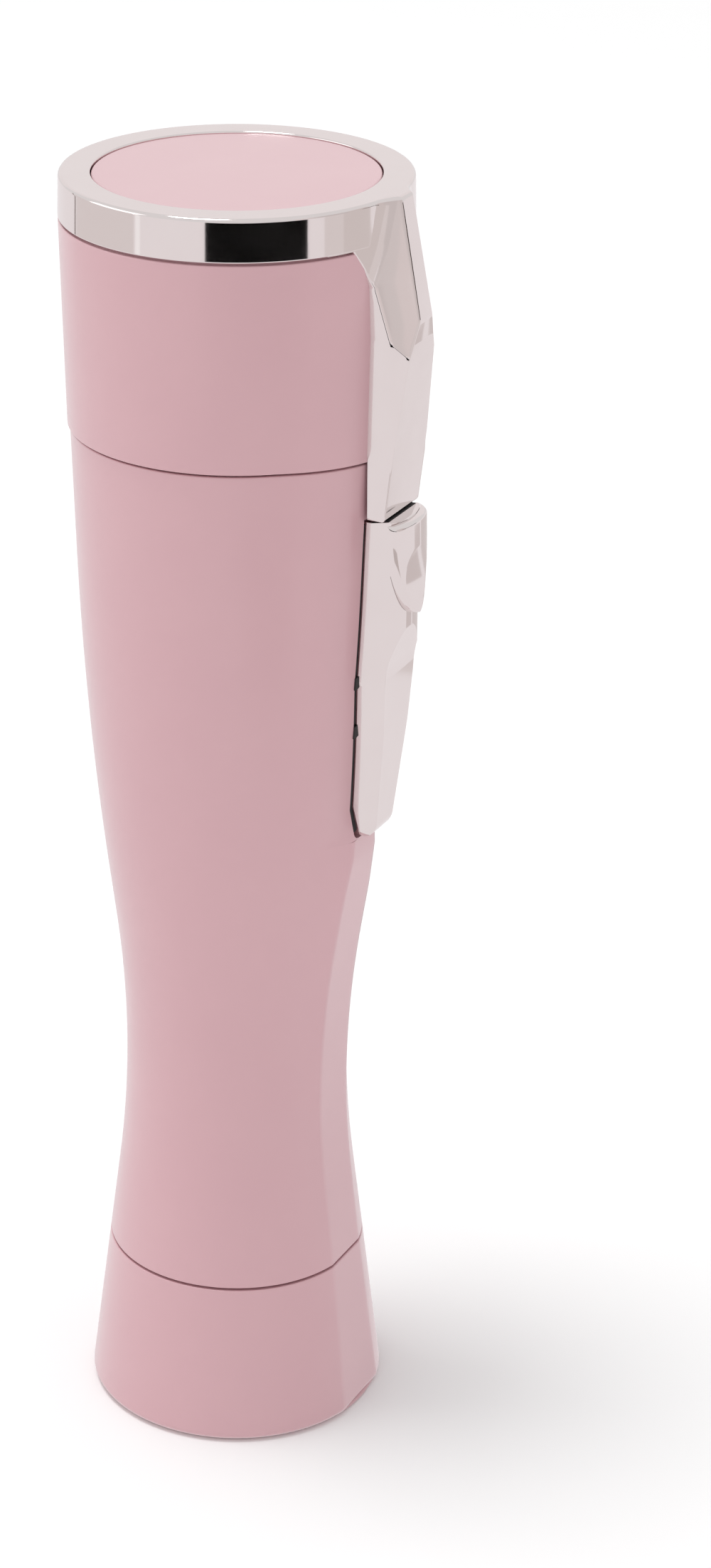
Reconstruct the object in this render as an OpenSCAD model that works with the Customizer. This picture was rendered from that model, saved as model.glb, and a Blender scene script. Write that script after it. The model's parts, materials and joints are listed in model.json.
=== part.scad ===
// Hand-held epilator that stands on its base: a waisted handle, a lift-off cap with a bright
// ring and a front tongue, a sliding thumb switch, and a geared tweezer drum under the cap.
// Millimetres. +Z is up, the front faces -Y, and the origin is the middle of the base.
// In the comments, "out" is the distance from the axis towards the front.

/* [Body outline] */
// Radius of the base at the floor
base_r = 18.75; // [18.5:0.05:19]
// Height at which the lower and the middle outline lines would meet
waist_z = 48.75; // [47.5:0.25:50]
// Radius at which those two lines would meet
waist_r = 12.7; // [12.7:0.05:13]
// Radius of the arc that rounds the waist
waist_blend = 139; // [120:1:140]
// Height at which the middle and the upper outline lines would meet
shoulder_z = 93.4; // [92:0.1:95]
// Radius at which those two lines would meet
shoulder_r = 18.27; // [18.2:0.01:18.4]
// Radius of the arc that rounds the shoulder
shoulder_blend = 450; // [350:10:450]
// Radius of the handle at its top rim
handle_top_r = 19.5; // [19.4:0.05:19.55]

/* [Seams and walls] */
// Height of the seam between the base and the handle
base_seam_z = 21; // [20.5:0.25:21.5]
// Height of the seam between the handle and the cap
cap_seam_z = 130; // [130:0.25:130.5]
// Width of the groove at each seam
seam_gap = 0.3; // [0.25:0.05:0.35]
// Thickness of the handle and base walls
wall = 2.2; // [2:0.05:2.2]

/* [Front flat] */
// How deep the front flat cuts at the floor
flat_depth = 0.57; // [0.4:0.01:0.7]
// Height at which the front flat runs out
flat_top_z = 78; // [74:0.5:79]

/* [Cap] */
// Radius of the cap at its lower rim
cap_low_r = 19.8; // [19.75:0.05:19.9]
// Radius of the cap where it meets the ring
cap_high_r = 20.48; // [20.4:0.02:20.6]
// Thickness of the cap wall
cap_wall = 1.6; // [1.4:0.05:1.6]
// Height of the lower edge of the ring
ring_z = 155; // [154.5:0.25:155.25]
// Height of the top of the ring
total_h = 160; // [159.75:0.25:160.5]
// Outer radius of the ring at its lower edge
ring_low_r = 20.37; // [20.3:0.01:20.4]
// Outer radius of the ring at its top
ring_top_r = 20.25; // [20.15:0.01:20.3]
// Radius of the coloured disc inside the ring
top_disc_r = 16.6; // [16:0.1:17]

/* [Cap tongue] */
// Height of the lower end of the tongue at its sides
tongue_z = 122.4; // [122.2:0.1:122.6]
// Half width of the tongue at its ridge
tongue_half_w = 5; // [4.8:0.05:5.2]
// Half width of the tongue at its lower end
tongue_end_half_w = 4.5; // [4.3:0.05:4.7]
// Height of the ridge across the front
ridge_z = 146; // [145:0.25:147]
// How far out the ridge stands
ridge_out = 24.2; // [24:0.05:24.4]
// Slope of the front face above the ridge
upper_slope = 0.193; // [0.18:0.001:0.2]
// Slope of the front face below the ridge
lower_slope = 0.114; // [0.105:0.001:0.12]
// How far out the side walls reach
side_out = 21.8; // [21.6:0.05:22]
// Slope of the bevels beside the front face
bevel_slope = 1.083; // [1:0.01:1.2]
// How far out the shield faces would meet at the top
shield_out = 22.66; // [22.5:0.02:22.8]
// Sideways slope of the shield faces
shield_slope = 0.813; // [0.78:0.005:0.85]
// Upward lean of the shield faces
shield_lean = 0.203; // [0.19:0.001:0.22]
// Half width of the apron at the ring
apron_half_w = 8; // [7.5:0.1:8.2]
// Half width of the apron at its lower end
apron_end_half_w = 5.4; // [5.3:0.05:5.6]
// Height of the lower end of the apron
apron_z = 152.6; // [152:0.1:153]

/* [Switch panel] */
// Height of the lower end of the panel
panel_z = 80.8; // [80.5:0.1:81.5]
// Height of the upper end of the panel
panel_top_z = 121.8; // [121.6:0.1:121.8]
// Greatest half width of the panel
panel_half_w = 4.2; // [4.1:0.05:4.3]
// How far out the crown of the arched upper part stands
arch_out = 22.9; // [22.8:0.02:23]
// How far the arch falls from its crown to its edges
arch_fall = 1; // [0.9:0.05:1.1]
// How far out the front facet stands, at foot_facet_z and at knee_z
facet_out = [20.4, 21.7]; // [19:0.05:23]
// Height at which the lower part of the facet is measured
foot_facet_z = 88; // [87:0.5:89]
// Height at which the facet turns into the ramp
knee_z = 103.5; // [103:0.1:104]
// Height at which the ramp reaches the crown
ramp_top_z = 108.5; // [108:0.1:109]
// Half width of the facet at mid height
facet_half_w = 2.9; // [2.8:0.05:3]
// Dark gap all round the panel
panel_gap = 0.35; // [0.3:0.05:0.4]

/* [Thumb button] */
// Height of the rounded lower tip of the button
button_z = 110; // [109.8:0.1:110.2]
// Height above which the sides of the button run straight up
button_shoulder_z = 120; // [119:0.25:120.5]
// Height of the upper end of the button
button_top_z = 123.4; // [123:0.1:123.5]
// Thickness of the button over the arch
button_t = 1; // [0.9:0.05:1.1]
// Gap between the button and the arch it slides on
button_lift = 0.15; // [0.12:0.01:0.2]
// How far the button slides down
button_travel = 5; // [4:0.25:5]
// Depth of the thumb dish
dish_depth = 0.5; // [0.3:0.05:0.6]

/* [Base and socket] */
// Radius of the rubber foot pad
pad_r = 13.9; // [13:0.1:14]
// Thickness of the foot pad
pad_t = 1.2; // [1:0.1:1.3]
// Gap between the rim of the base and the floor
rim_lift = 0.2; // [0.15:0.05:0.3]
// Bevel round the lower edge of the base
edge_bevel = 0.8; // [0.6:0.1:1]
// Height of the charging socket at the back
socket_z = 10; // [9.8:0.1:10.5]
// Width and height of the socket's metal shell
socket_size = [9, 3.2]; // [2.8:0.1:9.4]

/* [Tweezer drum] */
// Height of the drum's axis
drum_z = 143.5; // [143.5:0.1:143.7]
// Radius of the tweezer discs
tweezer_r = 7.4; // [7:0.1:7.4]
// Number of tweezers along the drum
tweezer_count = 12; // [8:1:12]
// Distance from one tweezer to the next
tweezer_pitch = 1.85; // [1.7:0.05:1.85]
// Radius of the drum's plastic core
core_r = 3.6; // [3.2:0.1:3.8]
// Radius of the drum's steel axle
drum_axle_r = 1.25; // [1:0.05:1.3]

/* [Gear train] */
// Tooth module of all the gears
gear_module = 0.5; // [0.5:0.01:0.51]
// Teeth on the drum gear
drum_teeth = 24; // [24:2:24]
// Teeth on the idler
idler_teeth = 20; // [20:2:20]
// Teeth on the small gear beside the crown gear
spur_teeth = 12; // [12:2:12]
// Teeth on the crown gear
crown_teeth = 24; // [24:2:24]
// Teeth on the motor pinion
pinion_teeth = 8; // [8:2:8]
// How much thinner than half a pitch each tooth is
backlash = 0.12; // [0.1:0.01:0.2]
// Where the spur gears start, to the right of the middle
gear_x = 10.4; // [10.3:0.05:10.4]
// Width of the spur gears
gear_w = 2; // [1.8:0.1:2]

/* [Motor and power] */
// Width and depth of the flat-sided motor can
motor_size = [20, 15]; // [14:0.5:20]
// Height of the top of the motor can
motor_top_z = 113; // [113:0.1:113.2]
// Length of the motor can
motor_len = 25; // [24:0.5:25]
// Radius of the battery cell
battery_r = 7; // [6.8:0.05:7]
// Height of the lower end of the battery cell
battery_z = 30; // [30:0.25:31]
// Length of the battery cell
battery_len = 49; // [47:0.5:49]

/* [Hidden] */
$fn = 96;

// Colours, as red, green and blue
pink = [0.82, 0.64, 0.66];
chrome = [0.86, 0.84, 0.84];
steel = [0.72, 0.73, 0.75];
white_plastic = [0.93, 0.92, 0.9];
black_plastic = [0.12, 0.12, 0.13];
board_green = [0.1, 0.36, 0.2];
copper = [0.75, 0.5, 0.3];
cell_wrap = [0.25, 0.4, 0.65];
lead_red = [0.7, 0.13, 0.13];

// A length that reaches past anything it cuts
over = 60;
// Room for a turning shaft, for a press fit and between fixed pieces
run_fit = 0.05;
press_fit = 0.02;
loose_fit = 0.1;

// Gear centres and sizes
drum_gear_r = gear_module * drum_teeth / 2;
idler_r = gear_module * idler_teeth / 2;
spur_r = gear_module * spur_teeth / 2;
crown_r = gear_module * crown_teeth / 2;
pinion_r = gear_module * pinion_teeth / 2;
idler_z = drum_z - drum_gear_r - idler_r;
crown_z = idler_z - idler_r - spur_r;
pinion_mid_z = crown_z - crown_r;
addendum = 0.8 * gear_module;
dedendum = 1.1 * gear_module;
pressure_angle = 20;
crown_face_w = 1.2;
crown_web = 1.5;
pinion_len = 3.2;
pin_r = 1;
hub_r = 1.9;

// Head frame: two cheeks on two rails
cheek_x = gear_x + gear_w + 0.5;
cheek_t = 1.5;
cheek_half_y = 5;
mount_z = motor_top_z;
mount_t = 2;
deck_z = mount_z + mount_t;
rail_y = 3.4;
rail_h = 2.5;
bush_r = 2.2;
eye_r = 2.6;
ear_spot = [8, 5.6];
ear_r = 2.2;

// Head cover
cover_r = 16.6;
cover_wall = 1.2;
cover_top_z = drum_z + 4;
window = [25.4, 16];

// Small screws: shank, head, tapped hole and clearance hole
screw_r = 0.9;
screw_head_r = 1.6;
screw_head_h = 1.1;
tap_r = 0.95;
pass_r = 1;

// Motor
mount_r = 16.2;
shaft_r = 1;
boss_r = 3;
motor_screw_x = 6.5;
end_bell_h = 3;

// Chassis
spine_y = motor_size[1] / 2 + 0.1;
spine_t = 1.6;
spine_half_w = 6;
board_y = 9.2;
board_t = 1;
board_half_w = 5;
board_z = [29, 112];
lead_r = 0.6;
lead_spot = [3, 8.1];

// Base
spigot_r = 13.2;
spigot_wall = 1.8;
spigot_top_z = base_seam_z + 5;
base_floor_z = 2.4;
boss_x = 8;
base_boss_r = 2.4;
// Base screws, and the height of the shoulder that their heads pull up against
base_screw_r = 0.95;
base_screw_head_r = 1.8;
screw_seat_z = 2.6;
// Half height of the socket's housing
housing_half_h = 2.6;

// Stem of the thumb button, through the panel and the handle
stem_half_w = 1.3;
stem_z = [116, 120];
carriage_out = [14.1, 15.4];
carriage_half_w = 3;
carriage_z = stem_z[1] - 17;
lever_z = [104, 106];

// Seat of the switch panel: a slanted flat in the handle, as [out, height] at its two ends
panel_seat = [[15.75, 80], [18.3, 122.7]];
// Side planes of the panel: half width = taper * height - draft * out + a constant
panel_taper = 0.061;
panel_draft = 0.23;
facet_mid_z = 98;
facet_slope = (facet_out[1] - facet_out[0]) / (knee_z - foot_facet_z);
facet_mid_out = facet_out[0] + facet_slope * (facet_mid_z - foot_facet_z);
panel_plane = facet_half_w - panel_taper * facet_mid_z + panel_draft * facet_mid_out;
// The arch is part of an upright cylinder
arch_r = (panel_half_w * panel_half_w + arch_fall * arch_fall) / (2 * arch_fall);
arch_axis_out = arch_out - arch_r;

function unit(v) = v / norm(v);

// Points of an arc that rounds the corner b between the lines to a and to c
function arc_corner(a, b, c, rad, steps) =
    let (u = unit(a - b), w = unit(c - b), half = acos(u * w) / 2)
    let (centre = b + unit(u + w) * rad / sin(half), reach = rad / tan(half))
    let (from = b + u * reach - centre, to = b + w * reach - centre)
    let (start = atan2(from[1], from[0]), end = atan2(to[1], to[0]))
    let (sweep = (end - start + 540) % 360 - 180)
    [for (i = [0:steps]) centre + rad * [cos(start + sweep * i / steps), sin(start + sweep * i / steps)]];

// Outer line of the base and handle as [radius, height], from the floor to the cap
corners = [[base_r, 0], [waist_r, waist_z], [shoulder_r, shoulder_z], [handle_top_r, cap_seam_z]];
outline = concat(
    [corners[0]],
    arc_corner(corners[0], corners[1], corners[2], waist_blend, 12),
    arc_corner(corners[1], corners[2], corners[3], shoulder_blend, 10),
    [corners[3]]
);
outline_table = [for (p = outline) [p[1], p[0]]];
function radius_at(z) = lookup(z, outline_table);
function outline_between(z0, z1, inset) = concat(
    [[radius_at(z0) - inset, z0]],
    [for (p = outline) if (p[1] > z0 + 0.01 && p[1] < z1 - 0.01) [p[0] - inset, p[1]]],
    [[radius_at(z1) - inset, z1]]
);
// How far out the front flat lies
function flat_out(z) = radius_at(z) - flat_depth * (1 - z / flat_top_z);

// Half the angle that a tooth spans at radius rho, for an involute with the given pitch radius
function involute(angle) = tan(angle) * 180 / PI - angle;
function tooth_half_angle(pitch_r, rho) =
    let (base = pitch_r * cos(pressure_angle), angle = rho > base ? acos(base / rho) : 0)
    let (at_pitch = (PI * gear_module / 2 - backlash) / 2 / pitch_r * 180 / PI)
    at_pitch + involute(pressure_angle) - involute(angle);

// A flat outline in [out, height], stretched sideways across the middle plane
module across(points, half_w) {
    rotate([90, 0, 90])
        linear_extrude(2 * half_w, center = true)
            polygon([for (p = points) [-p[0], p[1]]]);
}

// A front view outline in [sideways, height], stretched forwards from near to far
module forwards(points, near, far) {
    translate([0, -near, 0])
        rotate([90, 0, 0])
            linear_extrude(far - near)
                polygon(points);
}

// A body turned about the axis between two heights, thinner than the outline by inset
module turned(z0, z1, inset) {
    rotate_extrude()
        polygon(concat([[0, z0]], outline_between(z0, z1, inset), [[0, z1]]));
}

// A ring turned about the axis from a closed outline in [radius, height]
module ring_of(points) {
    rotate_extrude()
        polygon(points);
}

// An upright tube
module tube(outer, inner, z0, z1) {
    translate([0, 0, z0])
        difference() {
            cylinder(r = outer, h = z1 - z0);
            translate([0, 0, -1])
                cylinder(r = inner, h = z1 - z0 + 2);
        }
}

// A cylinder along X at height z
module bar_x(r, x0, x1, z) {
    translate([x0, 0, z])
        rotate([0, 90, 0])
            cylinder(r = r, h = x1 - x0);
}

// A box from its lowest to its highest corner
module box(low, high) {
    translate(low)
        cube(high - low);
}

// The space on one side of the plane where normal * point = level
module below_plane(normal, level) {
    size = norm(normal);
    side = 8 * over;
    rotate([0, acos(normal[2] / size), atan2(normal[1], normal[0])])
        translate([-side / 2, -side / 2, level / size - side])
            cube(side);
}

// A piece and its mirror image in the middle plane
module both_sides() {
    children();
    mirror([1, 0, 0])
        children();
}

// A round-ended slot along X, stretched along Y
module slot_y(size, y0, y1, z) {
    half = (size[0] - size[1]) / 2;
    translate([0, y1, z])
        rotate([90, 0, 0])
            linear_extrude(y1 - y0) {
                square([2 * half, size[1]], center = true);
                translate([half, 0])
                    circle(d = size[1]);
                translate([-half, 0])
                    circle(d = size[1]);
            }
}

// A small screw with its head resting at height z
module screw(z, length) {
    translate([0, 0, z])
        cylinder(r = screw_head_r, h = screw_head_h);
    translate([0, 0, z - length])
        cylinder(r = screw_r, h = length);
}

// Spur gear along Z: first is the angle of the first tooth
module spur(teeth, width, bore, first) {
    pitch_r = gear_module * teeth / 2;
    base = pitch_r * cos(pressure_angle);
    root = pitch_r - dedendum;
    rise = [root, max(root + 0.05, base), pitch_r, pitch_r + addendum];
    last = len(rise) - 1;
    flank = [for (rho = rise) [rho, tooth_half_angle(pitch_r, rho)]];
    tooth = concat(
        [for (p = flank) [p[0], -p[1]]],
        [for (i = [last:-1:0]) flank[i]]
    );
    difference() {
        linear_extrude(width)
            polygon([
                for (k = [0:teeth - 1]) for (p = tooth)
                    let (angle = first + k * 360 / teeth + p[1])
                        p[0] * [cos(angle), sin(angle)]
            ]);
        translate([0, 0, -1])
            cylinder(r = bore, h = width + 2);
    }
}

// Spur gear along X, with a tooth or a gap straight down
module spur_x(teeth, z, bore, tooth_down) {
    translate([gear_x, 0, z])
        rotate([0, 90, 0])
            spur(teeth, gear_w, bore, tooth_down ? 0 : 180 / teeth);
}

// What the front flat takes off the base and the lower handle
module front_flat_cut() {
    steps = 14;
    across(concat(
        [[base_r + 9, flat_top_z], [base_r + 9, -1], [flat_out(0), -1]],
        [for (i = [0:steps]) let (z = flat_top_z * i / steps) [flat_out(z), z]]
    ), over / 2);
}

// Block of the switch panel, grown sideways by gap, from its slanted seat outwards
module panel_block(gap) {
    low = panel_z - gap;
    high = panel_top_z + gap;
    low_half_w = panel_taper * panel_z - panel_draft * radius_at(panel_z) + panel_plane + gap;
    corner = arc_corner([low_half_w, high], [low_half_w, low], [0, low], 1, 6);
    half_w = panel_half_w + gap;
    intersection() {
        across(concat(panel_seat, [[over, panel_seat[1][1]], [over, panel_seat[0][1]]]), over / 2);
        forwards(concat(
            [[half_w, high], [half_w, low + 6]],
            corner,
            [for (i = [len(corner) - 1:-1:0]) [-corner[i][0], corner[i][1]]],
            [[-half_w, low + 6], [-half_w, high]]
        ), 10, over);
        below_plane([1, -panel_draft, -panel_taper], panel_plane + gap);
        below_plane([-1, -panel_draft, -panel_taper], panel_plane + gap);
    }
}

// Slot that the stem of the thumb button slides in
module stem_slot() {
    clear = 0.3;
    box(
        [-stem_half_w - clear, -over, stem_z[0] - button_travel - loose_fit],
        [stem_half_w + clear, -carriage_out[1], stem_z[1] + loose_fit]
    );
}

// Pink outer tube of the handle, with the pocket of the panel and a ledge for the motor mount
module handle_sleeve() {
    ledge_r = 15.6;
    ledge_t = 2;
    color(pink)
        difference() {
            union() {
                difference() {
                    turned(base_seam_z + seam_gap / 2, cap_seam_z - seam_gap / 2, 0);
                    turned(base_seam_z - 1, cap_seam_z + 1, wall);
                }
                difference() {
                    tube(radius_at(mount_z) - wall / 2, ledge_r, mount_z - ledge_t, mount_z);
                    box([-5, -over, 0], [5, 0, over * 2]);
                }
            }
            front_flat_cut();
            panel_block(panel_gap);
            stem_slot();
        }
}

// Pink end cap under the handle, with a spigot that goes up into it and two screw bosses
module base_cap() {
    top = base_seam_z - seam_gap / 2;
    cavity_top = base_seam_z - 2;
    bevel_top = rim_lift + edge_bevel;
    color(pink)
        difference() {
            union() {
                difference() {
                    union() {
                        ring_of(concat(
                            [[0, rim_lift], [radius_at(0) - edge_bevel, rim_lift]],
                            outline_between(bevel_top, top, 0),
                            [[0, top]]
                        ));
                        translate([0, 0, top - 1])
                            cylinder(r = spigot_r, h = spigot_top_z - top + 1);
                    }
                    turned(base_floor_z, cavity_top, wall);
                    translate([0, 0, base_floor_z])
                        cylinder(r = spigot_r - spigot_wall, h = over);
                }
                both_sides()
                    translate([boss_x, 0, base_floor_z - 1])
                        cylinder(r = base_boss_r, h = spigot_top_z - base_floor_z + 1);
                box([-3, 9.5, base_floor_z - 1], [3, 12.5, socket_z - housing_half_h]);
            }
            front_flat_cut();
            translate([0, 0, -1])
                cylinder(r = pad_r + loose_fit, h = pad_t + 1);
            slot_y(socket_size + [0.6, 0.6], 13, base_r + 2, socket_z);
            both_sides()
                translate([boss_x, 0, -1]) {
                    cylinder(r = base_screw_r + 0.15, h = over);
                    cylinder(r = base_screw_head_r + 0.2, h = screw_seat_z + 1);
                }
        }
}

// Rubber pad that the object stands on
module foot_pad() {
    color(black_plastic)
        cylinder(r = pad_r, h = pad_t);
}

// Charging socket at the back of the base: a housing, a metal shell and the contact tongue
module charge_socket() {
    housing_y = [9, 13.9];
    mouth_y = 16.6;
    shell = 0.3;
    color(steel) {
        difference() {
            union() {
                box(
                    [-5.2, housing_y[0], socket_z - housing_half_h],
                    [5.2, housing_y[1], socket_z + housing_half_h]
                );
                slot_y(socket_size, housing_y[1] - 1, mouth_y, socket_z);
            }
            slot_y(socket_size - 2 * [shell, shell], housing_y[0] + 1.5, mouth_y + 1, socket_z);
        }
        box([-3.2, housing_y[0] + 1, socket_z - 0.3], [3.2, mouth_y - 0.8, socket_z + 0.3]);
    }
}

// Bright switch panel on the front: a drafted block under an arched upper part
module switch_panel() {
    notch_z = [95, 101.5];
    foot_out = facet_out[0] - facet_slope * (foot_facet_z - panel_z);
    side_line = concat(
        [[facet_out[1], knee_z]],
        arc_corner([facet_out[0], foot_facet_z], [foot_out, panel_z], [10, panel_z], 4, 8),
        [[10, panel_z], [10, panel_top_z], [arch_out, panel_top_z], [arch_out, ramp_top_z]]
    );
    color(chrome)
        difference() {
            intersection() {
                panel_block(0);
                across(side_line, over / 2);
                translate([0, -arch_axis_out, 0])
                    cylinder(r = arch_r, h = 3 * over);
            }
            stem_slot();
            for (z = notch_z) {
                foot_half_w = panel_taper * z - panel_draft * radius_at(z) + panel_plane;
                both_sides()
                    box(
                        [foot_half_w - 0.3, -radius_at(z) - 0.8, z - 0.6],
                        [panel_half_w + 2, -radius_at(z) + 1.6, z + 0.6]
                    );
            }
        }
}

// Collar on the rim of the handle that the cap slides over
module collar_ring() {
    top = cap_seam_z - seam_gap / 2;
    color(white_plastic)
        ring_of([
            [cover_r + run_fit, top],
            [cap_low_r - cap_wall - 0.3, top],
            [cap_low_r - cap_wall - 0.3, top + 1.7],
            [cap_low_r - cap_wall - 0.7, top + 2.2],
            [cover_r + run_fit, top + 2.2]
        ]);
}

// Front outline of the chrome apron where the ring widens into the tongue
module apron(clear) {
    intersection() {
        ring_of([
            [ring_low_r - 1.1 - clear, apron_z - 6],
            [cap_high_r + 1, apron_z - 6],
            [cap_high_r + 1, ring_z],
            [ring_low_r - 1.1 - clear, ring_z]
        ]);
        forwards([
            [-apron_half_w - clear, ring_z],
            [-apron_end_half_w - clear, apron_z - clear],
            [apron_end_half_w + clear, apron_z - clear],
            [apron_half_w + clear, ring_z]
        ], 10, over);
    }
}

// Outer form of the cap, down to its lower rim
module cap_form() {
    ring_of([
        [0, cap_seam_z + seam_gap / 2],
        [cap_low_r, cap_seam_z + seam_gap / 2],
        [cap_high_r, ring_z],
        [0, ring_z]
    ]);
}

// Heights and radii of the neck that carries the ring and the disc
neck_r = ring_low_r - 1.37;
neck_z = total_h - 2.4;
cap_roof = 1.4;

// Pink skirt of the cap with its closed top
module cap_shell() {
    color(pink)
        difference() {
            ring_of([
                [cap_low_r, cap_seam_z + seam_gap / 2],
                [cap_high_r, ring_z],
                [neck_r, ring_z],
                [neck_r, neck_z],
                [0, neck_z],
                [0, neck_z - cap_roof],
                [neck_r - cap_roof, neck_z - cap_roof],
                [cap_high_r - cap_wall - 0.3, ring_z - 0.6],
                [cap_low_r - cap_wall, cap_seam_z + seam_gap / 2]
            ]);
            apron(run_fit);
        }
}

// Solid of the tongue, before the cap is taken out of its back
module tongue_form() {
    front_at_end = ridge_out - lower_slope * (ridge_z - tongue_z - 1.6);
    top_out = ridge_out - upper_slope * (total_h - ridge_z);
    wide = tongue_half_w + 1;
    intersection() {
        forwards([
            [-tongue_end_half_w, tongue_z],
            [tongue_end_half_w, tongue_z],
            [tongue_half_w, ridge_z - 2],
            [tongue_half_w + 0.8, ring_z - 2],
            [tongue_half_w + 0.8, total_h],
            [-tongue_half_w - 0.8, total_h],
            [-tongue_half_w - 0.8, ring_z - 2],
            [-tongue_half_w, ridge_z - 2]
        ], 15, over);
        across([
            [15, tongue_z],
            [front_at_end - 1.1, tongue_z],
            [front_at_end, tongue_z + 1.6],
            [ridge_out, ridge_z],
            [top_out, total_h],
            [15, total_h]
        ], over / 2);
        linear_extrude(3 * over)
            polygon([
                [-wide, -15],
                [-wide, -side_out + bevel_slope * (wide - tongue_half_w)],
                [0, -side_out - bevel_slope * tongue_half_w],
                [wide, -side_out + bevel_slope * (wide - tongue_half_w)],
                [wide, -15]
            ]);
        below_plane([shield_slope, -1, shield_lean], shield_out + shield_lean * total_h);
        below_plane([-shield_slope, -1, shield_lean], shield_out + shield_lean * total_h);
    }
}

// Bright ring round the top of the cap, with the tongue that hangs down its front
module cap_ring() {
    disc_gap = 0.1;
    rim_bevel = 0.4;
    sleeve_clear_r = handle_top_r + 0.35;
    color(chrome)
        union() {
            ring_of([
                [ring_low_r, ring_z],
                [ring_top_r, total_h - rim_bevel],
                [ring_top_r - rim_bevel, total_h],
                [top_disc_r + disc_gap, total_h],
                [top_disc_r + disc_gap, neck_z + run_fit],
                [neck_r + run_fit, neck_z + run_fit],
                [neck_r + run_fit, ring_z]
            ]);
            intersection() {
                apron(0);
                ring_of([
                    [0, apron_z - 6],
                    [cap_high_r, apron_z - 6],
                    [cap_high_r, ring_z - 1],
                    [ring_low_r, ring_z],
                    [0, ring_z]
                ]);
            }
            difference() {
                tongue_form();
                cap_form();
                cylinder(r = sleeve_clear_r, h = cap_seam_z + seam_gap / 2);
                translate([0, 0, ring_z - 0.01])
                    cylinder(r = ring_top_r - 1, h = over);
            }
        }
}

// Pink disc inside the ring
module cap_top_disc() {
    color(pink)
        translate([0, 0, neck_z])
            cylinder(r = top_disc_r, h = total_h - 0.2 - neck_z);
}

// Bright thumb piece that slides on the arch, dished for the thumb
module thumb_button() {
    tip_half_w = 1.85;
    tip_r = 2;
    dish_r = 14;
    dish_z = button_z + 4.6;
    outer_r = arch_r + button_lift + button_t;
    tip = arc_corner([panel_half_w, button_shoulder_z], [tip_half_w, button_z], [0, button_z], tip_r, 8);
    color(chrome)
        difference() {
            intersection() {
                forwards(concat(
                    [[panel_half_w, button_top_z], [panel_half_w, button_shoulder_z]],
                    tip,
                    [for (i = [len(tip) - 1:-1:0]) [-tip[i][0], tip[i][1]]],
                    [[-panel_half_w, button_shoulder_z], [-panel_half_w, button_top_z]]
                ), 15, over);
                translate([0, -arch_axis_out, 0])
                    tube(outer_r, arch_r + button_lift, button_z - 1, button_top_z + 1);
            }
            translate([0, -arch_axis_out - outer_r + dish_depth - dish_r, dish_z])
                sphere(r = dish_r);
            box([-stem_half_w, -arch_out - 0.6, stem_z[0]], [stem_half_w, -15, stem_z[1]]);
        }
}

// Stem of the thumb button, its plate inside the handle and the lever that works the switch
module button_carriage() {
    color(black_plastic)
        union() {
            box(
                [-carriage_half_w, -carriage_out[1], carriage_z],
                [carriage_half_w, -carriage_out[0], stem_z[1]]
            );
            box([-stem_half_w, -arch_out - 0.6, stem_z[0]], [stem_half_w, -carriage_out[0], stem_z[1]]);
            box([-0.9, -carriage_out[1], lever_z[0]], [0.9, -12.6, lever_z[1]]);
        }
}

// Inner frame: a back plate with two cradle rings for the cell and two round bulkheads
module chassis_spine() {
    low = spigot_top_z;
    low_bulkhead_r = 12.6;
    high_bulkhead_r = 13.8;
    bulkhead_t = 2;
    upper_z = motor_top_z - motor_len - end_bell_h - bulkhead_t;
    cradle_z = [38, 66];
    cradle_h = 3;
    board_clear_y = 5.5;
    color(white_plastic)
        difference() {
            union() {
                box([-spine_half_w, spine_y, low], [spine_half_w, spine_y + spine_t, motor_top_z]);
                for (z = cradle_z)
                    tube(battery_r + 1.4, battery_r + 0.15, z, z + cradle_h);
                translate([0, 0, low])
                    cylinder(r = low_bulkhead_r, h = bulkhead_t);
                translate([0, 0, upper_z])
                    cylinder(r = high_bulkhead_r, h = bulkhead_t);
            }
            box(
                [-board_half_w - 0.4, -over, low + bulkhead_t],
                [board_half_w + 0.4, -board_clear_y, over * 2]
            );
            both_sides()
                translate([boss_x, 0, low - 1])
                    cylinder(r = base_screw_r + run_fit, h = bulkhead_t + 2);
        }
}

// Rechargeable cell
module battery_cell() {
    color(cell_wrap)
        translate([0, 0, battery_z])
            cylinder(r = battery_r, h = battery_len);
}

// Spot-welded tabs on both ends of the cell, each reaching to its lead
module battery_tabs() {
    tab_t = 0.8;
    tab_r = 5;
    module tab(side, z) {
        translate([0, 0, z])
            cylinder(r = tab_r, h = tab_t);
        box(
            [side * lead_spot[0] - 1.2, -lead_spot[1] - 0.7, z],
            [side * lead_spot[0] + 1.2, 0, z + tab_t]
        );
    }
    color(steel) {
        tab(1, battery_z - tab_t);
        tab(-1, battery_z + battery_len);
    }
}

// Two leads that run up between the cell and the board
module power_leads() {
    top = motor_top_z - motor_len - end_bell_h + 1;
    color(lead_red) {
        translate([lead_spot[0], -lead_spot[1], battery_z])
            cylinder(r = lead_r, h = top - battery_z);
        translate([-lead_spot[0], -lead_spot[1], battery_z + battery_len + 0.8])
            cylinder(r = lead_r, h = top - battery_z - battery_len - 0.8);
    }
}

// Printed circuit board between the cell and the front wall
module circuit_board() {
    color(board_green)
        box([-board_half_w, -board_y - board_t, board_z[0]], [board_half_w, -board_y, board_z[1]]);
}

// Charge controller, inductor and capacitors on the front of the board
module board_components() {
    face = -board_y - board_t;
    color(black_plastic) {
        box([-2.5, face - 1.2, 88], [2.5, face, 93]);
        box([-2, face - 1.2, 31], [2, face, 34]);
        for (x = [-3, 3])
            box([x - 0.8, face - 0.8, 84], [x + 0.8, face, 86]);
    }
}

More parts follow.
